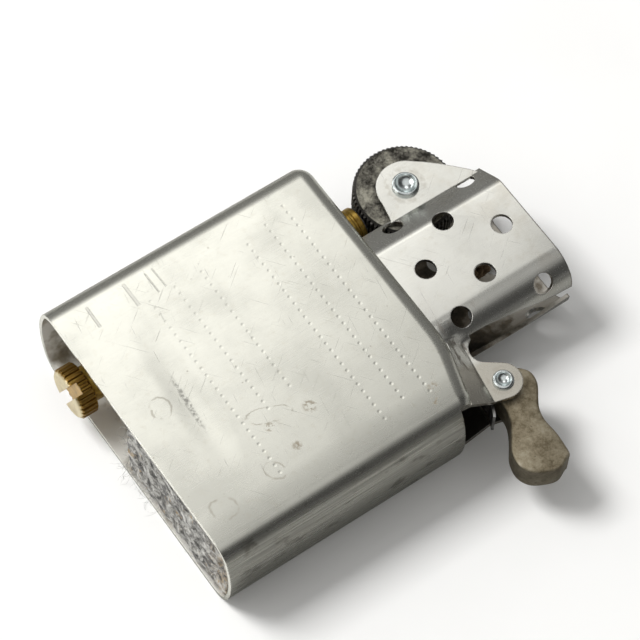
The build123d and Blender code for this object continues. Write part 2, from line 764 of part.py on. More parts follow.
def wick_cord(radius, y=0.0, tail=0.0):
    """Round cord in the plane at y: straight up the chimney, then folded to
    and fro between the layers of wadding; tail lengthens its low end."""
    end_x, end_z = WICK_LINE[-1]
    points = [(x, y, z) for x, z in WICK_LINE]
    with BuildPart() as cord:
        with BuildLine():
            FilletPolyline(*points, radius=WICK_FOLD_R)
        with BuildSketch(Plane((WICK_X, y, WICK_TOP), x_dir=(1, 0, 0), z_dir=(0, 0, -1))):
            Circle(radius)
        sweep()
        if tail:
            with BuildSketch(Plane.XY.offset(end_z - tail)):
                with Locations((end_x, 0)):
                    Circle(radius)
            extrude(amount=tail)
    return cord.part


def wick_wires():
    with BuildPart() as wires:
        for y in WICK_WIRE_Y:
            add(wick_cord(WICK_WIRE_R, y))
    return wires.part


def wick():
    with BuildPart() as body:
        add(wick_cord(WICK_R))
        for y in WICK_WIRE_Y:
            add(wick_cord(WICK_WIRE_HOLE_R, y), mode=Mode.SUBTRACT)
    return body.part


def wadding(z0, z1, x0, x1, channel):
    """One layer of wadding, cut clear of the flint tube and the wick."""
    with BuildPart() as layer:
        with BuildSketch(Plane.XY.offset(z0)):
            with Locations(((x0 + x1) / 2, 0)):
                RectangleRounded(x1 - x0, WADDING_W, 2.4)
        extrude(amount=z1 - z0)
        fillet(layer.edges().group_by(Axis.Z)[-1], 1.0)
        fillet(layer.edges().group_by(Axis.Z)[0], 1.0)
        with BuildSketch(Plane.XY.offset(z0 - 1)):
            with Locations((TUBE_X, 0)):
                Circle(TUBE_R + 0.25)
        extrude(amount=z1 - z0 + 2, mode=Mode.SUBTRACT)
        add(channel, mode=Mode.SUBTRACT)
    return layer.part


# ---- felt pad and flap -----------------------------------------------------
PAD_T = 3.0
PAD_GAP = 0.12          # gap to the can wall, and height above the rim
FLAP_X0, FLAP_X1 = -1.7, 5.6
FLAP_GAP = 0.06         # between flap and pad


def felt(x0, x1):
    """Slice of felt filling the can between x0 and x1."""
    with BuildPart() as slab:
        with BuildSketch(Plane.XY.offset(PAD_GAP)):
            add(can_section(SHEET + PAD_GAP))
            with Locations(((x0 + x1) / 2, 0)):
                Rectangle(x1 - x0, 20, mode=Mode.INTERSECT)
        extrude(amount=PAD_T)
    return slab.part


# ---- build and export ------------------------------------------------------
save("insert_can", insert_can())
save("chimney", chimney())
save("wheel_rivet", rivet(
    WHEEL_X, WHEEL_Z, WHEEL_EAR_Y, WHEEL_PIN_R,
    head_r=1.50, head_t=0.50, dish_r=1.22, dish_out=0.50,
))
save("cam_rivet", rivet(
    CAM_X, CAM_Z, CAM_EAR_Y, CAM_PIN_R,
    head_r=1.17, head_t=0.38, dish_r=0.86, dish_out=0.35,
))
save("spark_wheel", spark_wheel())
save("cam", cam())
save("cam_spring", cam_spring())
save("flint_tube", flint_tube())
save("flint", flint())
save("flint_pusher", flint_pusher())
save("flint_spring", flint_spring())
save("flint_screw", flint_screw())
save("wick_wires", wick_wires())
save("wick", wick())
wick_channel = wick_cord(WICK_R + 0.15, tail=0.6)
for i, layer_box in enumerate(WADDING, 1):
    save(f"wadding_{i}", wadding(*layer_box, wick_channel))
save("felt_pad", felt(FLAP_X1, FLAP_X1 + 20))
save("felt_flap", felt(FLAP_X0, FLAP_X1 - FLAP_GAP))
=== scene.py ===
import bpy, bmesh, math, random
from mathutils import Vector, Matrix, Quaternion, noise


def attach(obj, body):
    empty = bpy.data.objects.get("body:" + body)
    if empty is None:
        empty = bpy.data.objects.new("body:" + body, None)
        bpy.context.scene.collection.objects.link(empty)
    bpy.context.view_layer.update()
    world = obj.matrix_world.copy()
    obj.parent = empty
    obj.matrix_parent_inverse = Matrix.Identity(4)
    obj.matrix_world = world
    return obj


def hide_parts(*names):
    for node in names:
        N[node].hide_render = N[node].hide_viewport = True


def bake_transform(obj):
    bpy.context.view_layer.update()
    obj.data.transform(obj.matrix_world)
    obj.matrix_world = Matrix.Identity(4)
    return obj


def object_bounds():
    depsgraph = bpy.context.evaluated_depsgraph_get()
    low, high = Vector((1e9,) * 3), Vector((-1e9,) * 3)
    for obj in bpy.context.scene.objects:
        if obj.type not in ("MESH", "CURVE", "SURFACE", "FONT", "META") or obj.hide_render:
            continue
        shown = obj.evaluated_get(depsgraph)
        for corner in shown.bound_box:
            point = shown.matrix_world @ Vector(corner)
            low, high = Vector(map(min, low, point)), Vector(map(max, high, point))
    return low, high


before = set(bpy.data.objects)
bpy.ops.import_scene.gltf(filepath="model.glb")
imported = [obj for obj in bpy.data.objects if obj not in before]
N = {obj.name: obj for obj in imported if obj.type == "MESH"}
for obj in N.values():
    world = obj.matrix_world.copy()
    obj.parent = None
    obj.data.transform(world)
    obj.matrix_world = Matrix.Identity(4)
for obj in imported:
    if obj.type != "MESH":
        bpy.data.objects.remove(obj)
BOX0 = [list(v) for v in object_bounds()]
MM = 0.001
scene = bpy.context.scene
coll = scene.collection

# ------------------------------------------------------------------ camera
def build_camera():
    cam_data = bpy.data.cameras.new("camera")
    cam = bpy.data.objects.new("camera", cam_data)
    coll.objects.link(cam)
    right = Vector((0.5720, -0.0306, 0.8197)).normalized()
    fwd = Vector((-0.3793, 0.8762, 0.2973)).normalized()
    right = (right - fwd * right.dot(fwd)).normalized()
    up = right.cross(fwd)
    m = Matrix((
        (right.x, up.x, -fwd.x, 0.1170761),
        (right.y, up.y, -fwd.y, -0.2759971),
        (right.z, up.z, -fwd.z, -0.0684136),
        (0, 0, 0, 1)))
    cam.rotation_mode = "QUATERNION"
    cam.location = m.to_translation()
    cam.rotation_quaternion = m.to_quaternion()
    cam_data.sensor_width = 36.0
    cam_data.lens = 2968.69 * 36.0 / 640.0
    cam_data.clip_start, cam_data.clip_end = 0.01, 20.0
    scene.camera = cam
    return cam

CAM = build_camera()
CAM_HOME = Vector(CAM.location)


def only_when(obj, lying, path="hide_render"):
    """Shows obj only when the camera stands at its own place (lying) or only
    when it was moved round the object (standing)."""
    d = obj.driver_add(path).driver
    d.type = "SCRIPTED"
    for axis in "XYZ":
        v = d.variables.new()
        v.name = "c" + axis.lower()
        v.type = "TRANSFORMS"
        v.targets[0].id = CAM
        v.targets[0].transform_type = "LOC_" + axis
        v.targets[0].transform_space = "WORLD_SPACE"
    away = "abs(cx-%.6f)+abs(cy-%.6f)+abs(cz-%.6f) > 0.0005" % tuple(
        round(c, 6) for c in CAM_HOME)
    away = away.replace("--", "+")
    d.expression = ("1.0 if %s else 0.0" if lying else "0.0 if %s else 1.0") % away


# -------------------------------------------------------- material helpers
class Mat:
    """A node material; self.P is the place on the object in millimetres."""

    def __init__(self, name, metallic=0.0, rough=0.5):
        self.m = bpy.data.materials.new(name)
        self.m.use_nodes = True
        self.t = self.m.node_tree
        self.b = self.t.nodes["Principled BSDF"]
        self.b.inputs["Metallic"].default_value = metallic
        self.b.inputs["Roughness"].default_value = rough
        tc = self.t.nodes.new("ShaderNodeTexCoord")
        self.P = self.vmath("MULTIPLY", tc.outputs["Object"], (1000, 1000, 1000))
        self.heights = []
        self.round = None

    def put(self, socket, value):
        if isinstance(value, bpy.types.NodeSocket):
            self.t.links.new(value, socket)
        else:
            if hasattr(socket, "default_value"):
                if socket.type == "RGBA" and len(value) == 3:
                    value = (*value, 1)
                socket.default_value = value

    def vmath(self, op, a, b=None, out=0):
        n = self.t.nodes.new("ShaderNodeVectorMath")
        n.operation = op
        self.put(n.inputs[0], a)
        if b is not None:
            self.put(n.inputs[3 if op == "SCALE" else 1], b)
        return n.outputs["Value" if op in ("LENGTH", "DOT_PRODUCT", "DISTANCE") else "Vector"]

    def math(self, op, a, b=None, c=None, clamp=False):
        n = self.t.nodes.new("ShaderNodeMath")
        n.operation = op
        n.use_clamp = clamp
        self.put(n.inputs[0], a)
        if b is not None:
            self.put(n.inputs[1], b)
        if c is not None:
            self.put(n.inputs[2], c)
        return n.outputs[0]

    def xyz(self, v=None):
        n = self.t.nodes.new("ShaderNodeSeparateXYZ")
        self.put(n.inputs[0], v or self.P)
        return n.outputs[0], n.outputs[1], n.outputs[2]

    def vec(self, x, y, z):
        n = self.t.nodes.new("ShaderNodeCombineXYZ")
        for i, v in enumerate((x, y, z)):
            self.put(n.inputs[i], v)
        return n.outputs[0]

    def noise(self, scale=1.0, detail=3.0, rough=0.55, v=None, off=(0, 0, 0), stretch=(1, 1, 1), rot=None, dist=0.0):
        n = self.t.nodes.new("ShaderNodeTexNoise")
        n.inputs["Scale"].default_value = scale
        n.inputs["Detail"].default_value = detail
        n.inputs["Roughness"].default_value = rough
        n.inputs["Distortion"].default_value = dist
        mp = self.t.nodes.new("ShaderNodeMapping")
        mp.inputs["Location"].default_value = off
        mp.inputs["Scale"].default_value = stretch
        if rot:
            # turn first, stretch after
            r = self.t.nodes.new("ShaderNodeMapping")
            r.inputs["Rotation"].default_value = rot
            self.put(r.inputs["Vector"], v or self.P)
            self.t.links.new(r.outputs[0], mp.inputs["Vector"])
        else:
            self.put(mp.inputs["Vector"], v or self.P)
        self.t.links.new(mp.outputs[0], n.inputs["Vector"])
        return n.outputs["Fac"]

    def voronoi(self, scale, feature="F1", v=None, off=(0, 0, 0), out="Distance", rand=1.0):
        n = self.t.nodes.new("ShaderNodeTexVoronoi")
        n.feature = feature
        n.inputs["Scale"].default_value = scale
        n.inputs["Randomness"].default_value = rand
        mp = self.t.nodes.new("ShaderNodeMapping")
        mp.inputs["Location"].default_value = off
        self.put(mp.inputs["Vector"], v or self.P)
        self.t.links.new(mp.outputs[0], n.inputs["Vector"])
        return n.outputs[out]

    def step(self, v, lo, hi, a=0.0, b=1.0, smooth=True):
        """a below lo, b above hi, smoothly between."""
        n = self.t.nodes.new("ShaderNodeMapRange")
        n.interpolation_type = "SMOOTHSTEP" if smooth else "LINEAR"
        for i, x in enumerate((v, lo, hi, a, b)):
            self.put(n.inputs[i], x)
        return n.outputs[0]

    def mix(self, f, a, b, mode="MIX"):
        n = self.t.nodes.new("ShaderNodeMix")
        n.data_type = "RGBA"
        n.blend_type = mode
        self.put(n.inputs[0], f)
        self.put(n.inputs[6], a)
        self.put(n.inputs[7], b)
        return n.outputs[2]

    def mul(self, *v):
        r = v[0]
        for x in v[1:]:
            r = self.math("MULTIPLY", r, x)
        return r

    def add(self, *v):
        r = v[0]
        for x in v[1:]:
            r = self.math("ADD", r, x)
        return r

    def most(self, *v):
        r = v[0]
        for x in v[1:]:
            r = self.math("MAXIMUM", r, x)
        return r

    def ramp(self, f, stops):
        n = self.t.nodes.new("ShaderNodeValToRGB")
        e = n.color_ramp.elements
        while len(e) < len(stops):
            e.new(0.5)
        for s, (p, c) in zip(e, stops):
            s.position = p
            s.color = (*c, 1)
        self.put(n.inputs[0], f)
        return n.outputs[0]

    def edges(self, radius=0.15, samples=4, lo=0.02, hi=0.35):
        """1 along the sharp edges, 0 on open faces."""
        bev = self.t.nodes.new("ShaderNodeBevel")
        bev.samples = samples
        bev.inputs["Radius"].default_value = radius * MM
        geo = self.t.nodes.new("ShaderNodeNewGeometry")
        d = self.vmath("DOT_PRODUCT", bev.outputs[0], geo.outputs["Normal"])
        self.round = bev.outputs[0]
        return self.step(self.math("SUBTRACT", 1.0, d), lo, hi)

    def bump(self, height, dist=0.1, strength=1.0, inv=False):
        """Adds a bump whose height 0..1 stands for dist millimetres."""
        self.heights.append((height, dist, strength, inv))

    def done(self, color=None, rough=None, **more):
        if color is not None:
            self.put(self.b.inputs["Base Color"], color)
        if rough is not None:
            self.put(self.b.inputs["Roughness"], rough)
        for k, v in more.items():
            self.put(self.b.inputs[k.replace("_", " ")], v)
        last = self.round
        for h, dist, strength, inv in self.heights:
            n = self.t.nodes.new("ShaderNodeBump")
            n.invert = inv
            n.inputs["Strength"].default_value = strength
            n.inputs["Distance"].default_value = dist * MM
            self.put(n.inputs["Height"], h)
            if last is not None:
                self.put(n.inputs["Normal"], last)
            last = n.outputs[0]
        if last is not None:
            self.put(self.b.inputs["Normal"], last)
        return self.m


def scratches(M, across, along, rot, off, lo, hi):
    """Hair lines: noise drawn out a long way in one direction."""
    return M.step(
        M.noise(1.0, 1.5, 0.5, rot=rot, off=off, stretch=(across, across, along)),
        lo, hi)


def steel_base(M, warm, scale=1.0):
    """Sheet steel: rolled grain, hair scratches, smudges. Returns colour,
    roughness."""
    x, y, z = M.xyz()
    smudge = M.noise(0.13, 4, 0.6, off=(3, 7, 1))
    fine = M.noise(1.1, 5, 0.65, off=(9, 2, 4))
    grain = M.noise(1.0, 2, 0.5, stretch=(14, 14, 0.35), off=(1, 5, 2))
    s1 = scratches(M, 9.0, 0.22, (0, math.radians(38), 0), (2, 0, 3), 0.70, 0.76)
    s2 = scratches(M, 8.0, 0.18, (0, math.radians(-52), 0), (7, 1, 5), 0.71, 0.77)
    s3 = scratches(M, 7.0, 0.25, (0, math.radians(81), 0), (4, 3, 9), 0.715, 0.78)
    hair = M.most(s1, s2, s3)
    col = M.mix(M.step(smudge, 0.40, 0.66), warm, tuple(c * 0.93 for c in warm))
    col = M.mix(M.step(fine, 0.52, 0.75, 0, 0.35), col, tuple(c * f for c, f in zip(warm, (0.86, 0.83, 0.78))))
    col = M.mix(M.mul(hair, 0.12), col, tuple(c * 0.72 for c in warm))
    rough = M.add(0.17 * scale, M.mul(smudge, 0.13), M.mul(grain, 0.06), M.mul(hair, 0.12))
    M.bump(grain, 0.0012, 0.5)
    M.bump(hair, 0.0009, 0.6, inv=True)
    return col, rough, hair, smudge, fine


def facing_in(M, centre, flat=(1, 1, 1)):
    """1 where the surface faces the point centre (mm), 0 where it faces away."""
    geo = M.t.nodes.new("ShaderNodeNewGeometry")
    away = M.vmath("MULTIPLY", M.vmath("SUBTRACT", M.P, centre), flat)
    return M.step(M.vmath("DOT_PRODUCT", away, geo.outputs["True Normal"]), -0.4, 0.0, 1, 0)


def ellipse(M, x, z, cx, cz, ax, az, ang=0.0):
    """Distance from (cx, cz) in units of the half axes ax, az, turned ang."""
    c, s = math.cos(ang), math.sin(ang)
    dx = M.math("SUBTRACT", x, cx)
    dz = M.math("SUBTRACT", z, cz)
    u = M.math("DIVIDE", M.add(M.mul(dx, c), M.mul(dz, s)), ax)
    v = M.math("DIVIDE", M.math("SUBTRACT", M.mul(dz, c), M.mul(dx, s)), az)
    return M.math("SQRT", M.add(M.mul(u, u), M.mul(v, v)))


def line_mark(M, x, z, x0, z0, x1, z1, half):
    """1 on a straight scratch from (x0, z0) to (x1, z1)."""
    ang = math.atan2(z1 - z0, x1 - x0)
    length = math.hypot(x1 - x0, z1 - z0)
    c, s = math.cos(ang), math.sin(ang)
    dx = M.math("SUBTRACT", x, (x0 + x1) / 2)
    dz = M.math("SUBTRACT", z, (z0 + z1) / 2)
    u = M.math("ABSOLUTE", M.add(M.mul(dx, c), M.mul(dz, s)))
    v = M.math("ABSOLUTE", M.math("SUBTRACT", M.mul(dz, c), M.mul(dx, s)))
    return M.mul(M.step(u, length / 2 - 0.3, length / 2, 1, 0), M.step(v, half * 0.4, half, 1, 0))


def can_material():
    M = Mat("can_sheet_steel", 1.0)
    col, rough, hair, smudge, fine = steel_base(M, (0.79, 0.785, 0.715))
    x, y, z = M.xyz()
    front = M.step(y, -5.70, -5.62, 1, 0)
    # long soft dent across the lower part of the front face
    d = ellipse(M, x, z, DENT[0], DENT[1], DENT[2], DENT[3], DENT[4])
    dent = M.step(d, 0.0, 1.0, 1, 0)
    over = M.math("MAXIMUM", M.math("SUBTRACT", M.math("ABSOLUTE", x), 12.3), 0.0)
    M.bump(M.mul(over, over, 0.009), 1.0, 1.0, inv=True)
    M.bump(M.mul(dent, front), 0.12, 1.0, inv=True)
    d2 = ellipse(M, x, z, 0.5, 6.5, 4.6, 0.42, math.radians(-4))
    geo = M.t.nodes.new("ShaderNodeNewGeometry")
    side = M.step(M.math("ABSOLUTE", M.xyz(geo.outputs["True Normal"])[0]), 0.45, 0.75)
    streak = M.mul(M.noise(1.0, 4, 0.65, stretch=(3.5, 3.5, 0.07), off=(2, 6, 1)), side)
    streak2 = M.mul(M.step(M.noise(1.0, 2, 0.5, stretch=(7, 7, 0.10), off=(9, 1, 4)), 0.56, 0.66), side)
    col = M.mix(M.step(streak, 0.36, 0.64, 0, 0.7), col, (0.47, 0.455, 0.42))
    col = M.mix(M.mul(streak2, 0.6), col, (0.86, 0.85, 0.81))
    rough = M.add(rough, M.mul(M.step(streak, 0.40, 0.62), 0.14))
    M.bump(streak, 0.020, 0.8)
    blots = M.mul(side, M.step(M.noise(0.45, 4, 0.65, stretch=(1, 1, 0.6), off=(3, 3, 8)), 0.56, 0.68))
    col = M.mix(M.mul(blots, 0.6), col, (0.24, 0.22, 0.19))
    rub = M.mul(M.step(d2, 0.3, 1.0, 1, 0), M.step(M.noise(2.4, 5, 0.7), 0.42, 0.58), front)
    col = M.mix(M.mul(rub, 0.6), col, (0.30, 0.29, 0.27))
    rough = M.add(rough, M.mul(rub, 0.15))
    # ring marks left by drops that dried
    warp = M.mul(M.math("SUBTRACT", M.noise(0.55, 3), 0.5), 1.0)
    for i, (cx, cz, rx, rz, w) in enumerate(RINGS):
        r = M.add(ellipse(M, x, z, cx, cz, rx, rz, 0.4 * i), warp)
        ring = M.mul(M.step(M.math("ABSOLUTE", M.math("SUBTRACT", r, 1.0)), 0.0, w, 1, 0),
                     M.step(M.noise(0.7, 2, off=(i * 3, 0, 0)), 0.40, 0.56), front)
        col = M.mix(M.mul(ring, 0.30), col, (0.44, 0.37, 0.26))
        rough = M.add(rough, M.mul(ring, 0.12))
    # short scuffs by the mouth and near the top
    for x0, z0, x1, z1, half, k in SCUFFS:
        mark = M.mul(line_mark(M, x, z, x0, z0, x1, z1, half), front)
        col = M.mix(M.mul(mark, k), col, (0.36, 0.35, 0.33))
        M.bump(mark, 0.012, 1.0, inv=True)
    # rust specks
    for i, (cx, cz, r) in enumerate(RUST):
        near = M.step(ellipse(M, x, z, cx, cz, r, r), 0.2, 1.0, 1, 0)
        speck = M.mul(near, M.step(M.noise(1.6, 4, 0.7, off=(i, 2, 5)), 0.44, 0.60), front)
        col = M.mix(M.mul(speck, 0.6), col, (0.42, 0.29, 0.15))
        rough = M.add(rough, M.mul(speck, 0.3))
    pits = M.mul(M.step(M.voronoi(0.62, off=(3, 1, 7)), 0.03, 0.09, 1, 0), M.step(M.noise(0.25, 3, off=(1, 9, 1)), 0.48, 0.60))
    col = M.mix(M.mul(pits, 0.40), col, (0.26, 0.22, 0.17))
    dust = M.mul(M.step(M.noise(3.2, 3, 0.7, off=(6, 6, 6)), 0.66, 0.72), M.step(smudge, 0.42, 0.62))
    col = M.mix(M.mul(dust, 0.35), col, (0.36, 0.32, 0.26))
    # plain dimpled rows stand where a stamping would be
    for z0, xa, xb in DOT_ROWS:
        along = M.math("ABSOLUTE", M.math("SUBTRACT", M.math("FRACT", M.math("DIVIDE", M.math("ADD", x, 50.0), DOT_STEP)), 0.5))
        u = M.mul(along, DOT_STEP)
        v = M.math("SUBTRACT", z, z0)
        r = M.math("SQRT", M.add(M.mul(u, u), M.mul(v, v)))
        inside = M.mul(M.step(x, xa - 0.01, xa, 0, 1), M.step(x, xb, xb + 0.01, 1, 0))
        dot = M.mul(M.step(r, 0.0, DOT_R, 1, 0), inside, front)
        M.bump(dot, 0.011, 1.0, inv=True)
        col = M.mix(M.mul(dot, 0.06), col, (0.45, 0.43, 0.38))
    # inside: dull, browned by fuel, blotched; the top corner by the cam is painted near-black as shade
    inside = facing_in(M, (0, 0, 15))
    blotch = M.add(M.noise(0.26, 4, 0.55, off=(5, 5, 5)), M.mul(M.step(z, 1.0, 9.0, 0.15, 0.0), M.step(x, -12.0, -8.0, 0.45, 1.0)))
    brown = M.ramp(blotch, ((0.36, (0.12, 0.10, 0.075)), (0.48, (0.34, 0.305, 0.24)), (0.60, (0.80, 0.785, 0.74))))
    # painted shade: near-black on the inner faces from about z 24 mm up and x 8 mm out, where the hollow lies in shadow
    brown = M.mix(M.mul(M.step(z, 24.0, 28.0), M.step(x, 8.0, 11.0)), brown, (0.030, 0.027, 0.022))
    col = M.mix(inside, col, brown)
    rough = M.add(rough, M.mul(inside, 0.12))
    # bright cut edges
    edge = M.edges(0.16, 4)
    col = M.mix(M.mul(edge, 0.55), col, (0.93, 0.92, 0.89))
    rough = M.math("SUBTRACT", rough, M.mul(edge, 0.10))
    # fuel film dulls the metal just inside the mouth
    metal = M.math("SUBTRACT", 1.0, M.mul(inside, M.step(z, 2.0, 11.0, 0.65, 0.0)))
    return M.done(col, rough, Metallic=metal)


def chimney_material():
    M = Mat("chimney_sheet_steel", 1.0)
    col, rough, hair, smudge, fine = steel_base(M, (0.79, 0.785, 0.735), 0.95)
    x, y, z = M.xyz()
    # soot and heat stain inside, thickest round the wick and the wheel
    inner = M.mul(facing_in(M, (1.4, 0, 41), (1, 1, 0)), M.step(x, -6.75, -6.55, 0, 1), M.step(x, 10.0, 10.2, 1, 0))
    soot = M.noise(0.45, 5, 0.65, off=(2, 8, 3))
    sooty = M.ramp(M.add(soot, M.step(z, 37, 47, -0.08, 0.22)), ((0.34, (0.035, 0.03, 0.025)), (0.50, (0.20, 0.165, 0.12)), (0.66, (0.58, 0.55, 0.50))))
    col = M.mix(M.mul(inner, 0.92), col, sooty)
    rough = M.add(rough, M.mul(inner, 0.18))
    # brown haze by the flame side and at the rim
    haze = M.mul(M.step(M.noise(0.35, 4, off=(1, 1, 6)), 0.46, 0.68), M.step(z, 40, 49, 0.15, 0.55))
    col = M.mix(M.mul(haze, 0.5), col, (0.58, 0.52, 0.42))
    # smears of soot on the joggled corner and ears near the cam
    smear = M.mul(M.step(M.noise(0.8, 5, 0.7, stretch=(0.5, 1, 1.6), off=(4, 2, 2)), 0.50, 0.66), M.step(x, 5.5, 8.5, 0, 1), M.step(z, 35.5, 39.0, 1, 0), M.step(x, 12.0, 13.5, 1, 0))
    col = M.mix(M.mul(smear, 0.75), col, (0.16, 0.12, 0.085))
    rough = M.add(rough, M.mul(smear, 0.15))
    # the cam ears are duller and warmer than the walls
    col = M.mix(M.step(x, 11.6, 12.6, 0, 0.62), col, (0.46, 0.42, 0.345))
    # painted shade: black on the inner faces round the cam spring, where the gap lies in shadow
    shade = M.mul(facing_in(M, (0, 0, 0), (0, 1, 0)), M.step(x, 8.5, 10.5), M.step(z, 34.6, 36.4, 1, 0))
    col = M.mix(M.mul(shade, 0.95), col, (0.022, 0.019, 0.016))
    rough = M.add(rough, M.mul(shade, 0.3))
    # worn halo where the wheel and cam rub the ears
    for cx, cz, r0 in ((-9.72, 41.48, 2.0), (15.3, 36.05, 1.5)):
        halo = M.step(M.math("ABSOLUTE", M.math("SUBTRACT", ellipse(M, x, z, cx, cz, r0, r0), 1.0)), 0.0, 0.28, 1, 0)
        halo = M.mul(halo, M.step(M.noise(1.2, 3), 0.4, 0.6))
        col = M.mix(M.mul(halo, 0.35), col, (0.45, 0.41, 0.34))
    edge = M.edges(0.14, 4)
    col = M.mix(M.mul(edge, 0.6), col, (0.93, 0.92, 0.90))
    rough = M.math("SUBTRACT", rough, M.mul(edge, 0.08))
    # the cut top edge is browned by the flame
    rim = M.step(z, 49.36, 49.48, 0, 1)
    col = M.mix(M.mul(rim, 0.9), col, (0.17, 0.145, 0.11))
    return M.done(col, rough)


def wheel_material():
    M = Mat("wheel_blackened_steel", 0.75)
    x, y, z = M.xyz()
    rr = ellipse(M, x, z, -9.72, 41.48, 1.0, 1.0)
    face = M.step(M.math("ABSOLUTE", y), 1.89, 1.93, 0, 1)
    big = M.noise(0.55, 5, 0.62, off=(6, 1, 2))
    fine = M.noise(2.6, 5, 0.7, off=(2, 4, 8))
    worn = M.ramp(M.add(M.mul(big, 0.62), M.mul(fine, 0.38)),
                  ((0.40, (0.028, 0.026, 0.021)), (0.45, (0.11, 0.103, 0.088)), (0.52, (0.25, 0.24, 0.20)), (0.61, (0.50, 0.48, 0.40))))
    col = M.mix(face, (0.045, 0.042, 0.038), worn)
    tips = M.mul(M.math("SUBTRACT", 1.0, face), M.step(rr, 5.50, 5.64, 0, 1), M.step(fine, 0.42, 0.6))
    col = M.mix(M.mul(tips, 0.8), col, (0.36, 0.35, 0.33))
    cracks = M.step(M.voronoi(0.62, "DISTANCE_TO_EDGE", v=M.vec(M.mul(x, 1.0), 0.0, M.mul(z, 1.0))), 0.0, 0.05, 1, 0)
    cracks = M.mul(cracks, M.step(fine, 0.52, 0.60), face)
    col = M.mix(M.mul(cracks, 0.8), col, (0.015, 0.013, 0.012))
    edge = M.edges(0.10, 4)
    col = M.mix(M.mul(edge, 0.45, M.step(fine, 0.4, 0.6)), col, (0.42, 0.41, 0.38))
    M.bump(fine, 0.03, 0.8)
    M.bump(big, 0.08, 0.6)
    # file-cut marks across the rim
    cut = M.noise(1.0, 2, stretch=(1, 9, 1))
    M.bump(M.mul(cut, M.math("SUBTRACT", 1.0, face)), 0.05, 0.8)
    return M.done(col, M.add(0.36, M.mul(fine, 0.35)))


def cam_material():
    M = Mat("cam_patinated_steel", 0.85)
    x, y, z = M.xyz()
    big = M.noise(0.38, 5, 0.6, off=(4, 4, 1))
    fine = M.noise(1.9, 6, 0.72, off=(8, 3, 1))
    col = M.ramp(M.add(M.mul(big, 0.5), M.mul(fine, 0.5)),
                 ((0.36, (0.115, 0.090, 0.056)), (0.46, (0.265, 0.222, 0.148)), (0.56, (0.41, 0.357, 0.258)), (0.68, (0.56, 0.51, 0.40))))
    pits = M.step(M.voronoi(1.6, off=(1, 2, 3)), 0.06, 0.16, 1, 0)
    pits = M.mul(pits, M.step(big, 0.42, 0.55))
    col = M.mix(M.mul(pits, 0.65), col, (0.10, 0.075, 0.05))
    # painted shade: the cam's thickness faces are coloured darker than its flat faces
    side = M.step(M.math("ABSOLUTE", y), 1.50, 1.58, 1, 0)
    col = M.mix(M.mul(side, 0.45), col, (0.14, 0.125, 0.10))
    edge = M.edges(0.30, 6, 0.01, 0.22)
    wear = M.mul(edge, M.step(M.noise(0.5, 3, off=(7, 7, 7)), 0.38, 0.52))
    col = M.mix(M.mul(wear, 0.85), col, (0.80, 0.76, 0.68))
    rough = M.math("SUBTRACT", M.add(0.34, M.mul(fine, 0.26)), M.mul(wear, 0.16))
    M.bump(fine, 0.02, 0.7)
    M.bump(pits, 0.03, 0.8, inv=True)
    s = scratches(M, 6.0, 0.3, (0, math.radians(70), 0), (1, 1, 1), 0.68, 0.76)
    M.bump(s, 0.01, 0.8, inv=True)
    return M.done(col, rough)


def rivet_material():
    M = Mat("rivet_bright_zinc", 1.0)
    n = M.noise(1.4, 4, 0.6)
    fine = M.noise(5.0, 3, 0.6, off=(3, 3, 3))
    col = M.ramp(n, ((0.36, (0.66, 0.72, 0.73)), (0.62, (0.88, 0.93, 0.93))))
    edge = M.edges(0.12, 4)
    col = M.mix(M.mul(edge, 0.6), col, (0.95, 0.96, 0.96))
    grime = M.step(M.noise(0.9, 4, off=(5, 1, 2)), 0.56, 0.68)
    col = M.mix(M.mul(grime, 0.5), col, (0.30, 0.28, 0.25))
    M.bump(fine, 0.006, 0.7)
    return M.done(col, M.add(0.10, M.mul(n, 0.16)))


def spring_material():
    M = Mat("spring_steel_strip", 1.0)
    n = M.noise(0.9, 4, 0.6)
    grain = M.noise(1.0, 2, stretch=(0.4, 12, 12))
    col = M.ramp(n, ((0.35, (0.30, 0.30, 0.30)), (0.62, (0.60, 0.60, 0.59))))
    M.bump(grain, 0.006, 0.7)
    return M.done(col, M.add(0.24, M.mul(n, 0.2)))


def brass_material(name, clean, deep, dirt, screw=False):
    M = Mat(name, 1.0)
    x, y, z = M.xyz()
    big = M.noise(0.5, 5, 0.6, off=(2, 9, 4))
    fine = M.noise(2.4, 5, 0.7, off=(6, 6, 1))
    col = M.ramp(M.add(M.mul(big, 0.6), M.mul(fine, 0.4)),
                 ((0.34, dirt), (0.48, deep), (0.64, clean)))
    if screw:
        low = M.step(z, -1.72, -1.55, 1, 0)
        turned = M.math("FRACT", M.mul(ellipse(M, x, y, -9.75, 0.0, 1.0, 1.0), 5.0))
        pale = M.ramp(M.add(M.mul(big, 0.6), M.mul(fine, 0.4)), ((0.36, (0.44, 0.35, 0.18)), (0.56, (0.70, 0.61, 0.40))))
        col = M.mix(low, col, pale)
        M.bump(M.mul(M.step(turned, 0.3, 0.7), low), 0.006, 0.6)
        groove = M.mul(M.step(ellipse(M, x, y, -9.75, 0.0, 1.0, 1.0), 3.0, 3.14, 1, 0), M.step(ellipse(M, x, y, -9.75, 0.0, 1.0, 1.0), 2.6, 2.8, 0, 1), M.math("SUBTRACT", 1.0, low))
        col = M.mix(M.mul(groove, 0.75), col, (0.16, 0.085, 0.02))
    edge = M.edges(0.12, 4)
    col = M.mix(M.mul(edge, 0.5), col, clean)
    M.bump(fine, 0.012, 0.7)
    M.bump(M.noise(1.0, 2, stretch=(1, 1, 10)), 0.006, 0.6)
    return M.done(col, M.add(0.22, M.mul(fine, 0.26)))


def flint_material():
    M = Mat("flint_alloy", 0.35)
    fine = M.noise(3.2, 6, 0.7)
    big = M.noise(0.8, 3)
    col = M.ramp(M.add(M.mul(fine, 0.6), M.mul(big, 0.4)), ((0.38, (0.07, 0.062, 0.055)), (0.62, (0.27, 0.25, 0.23))))
    M.bump(fine, 0.05, 0.9)
    return M.done(col, M.add(0.5, M.mul(fine, 0.3)))


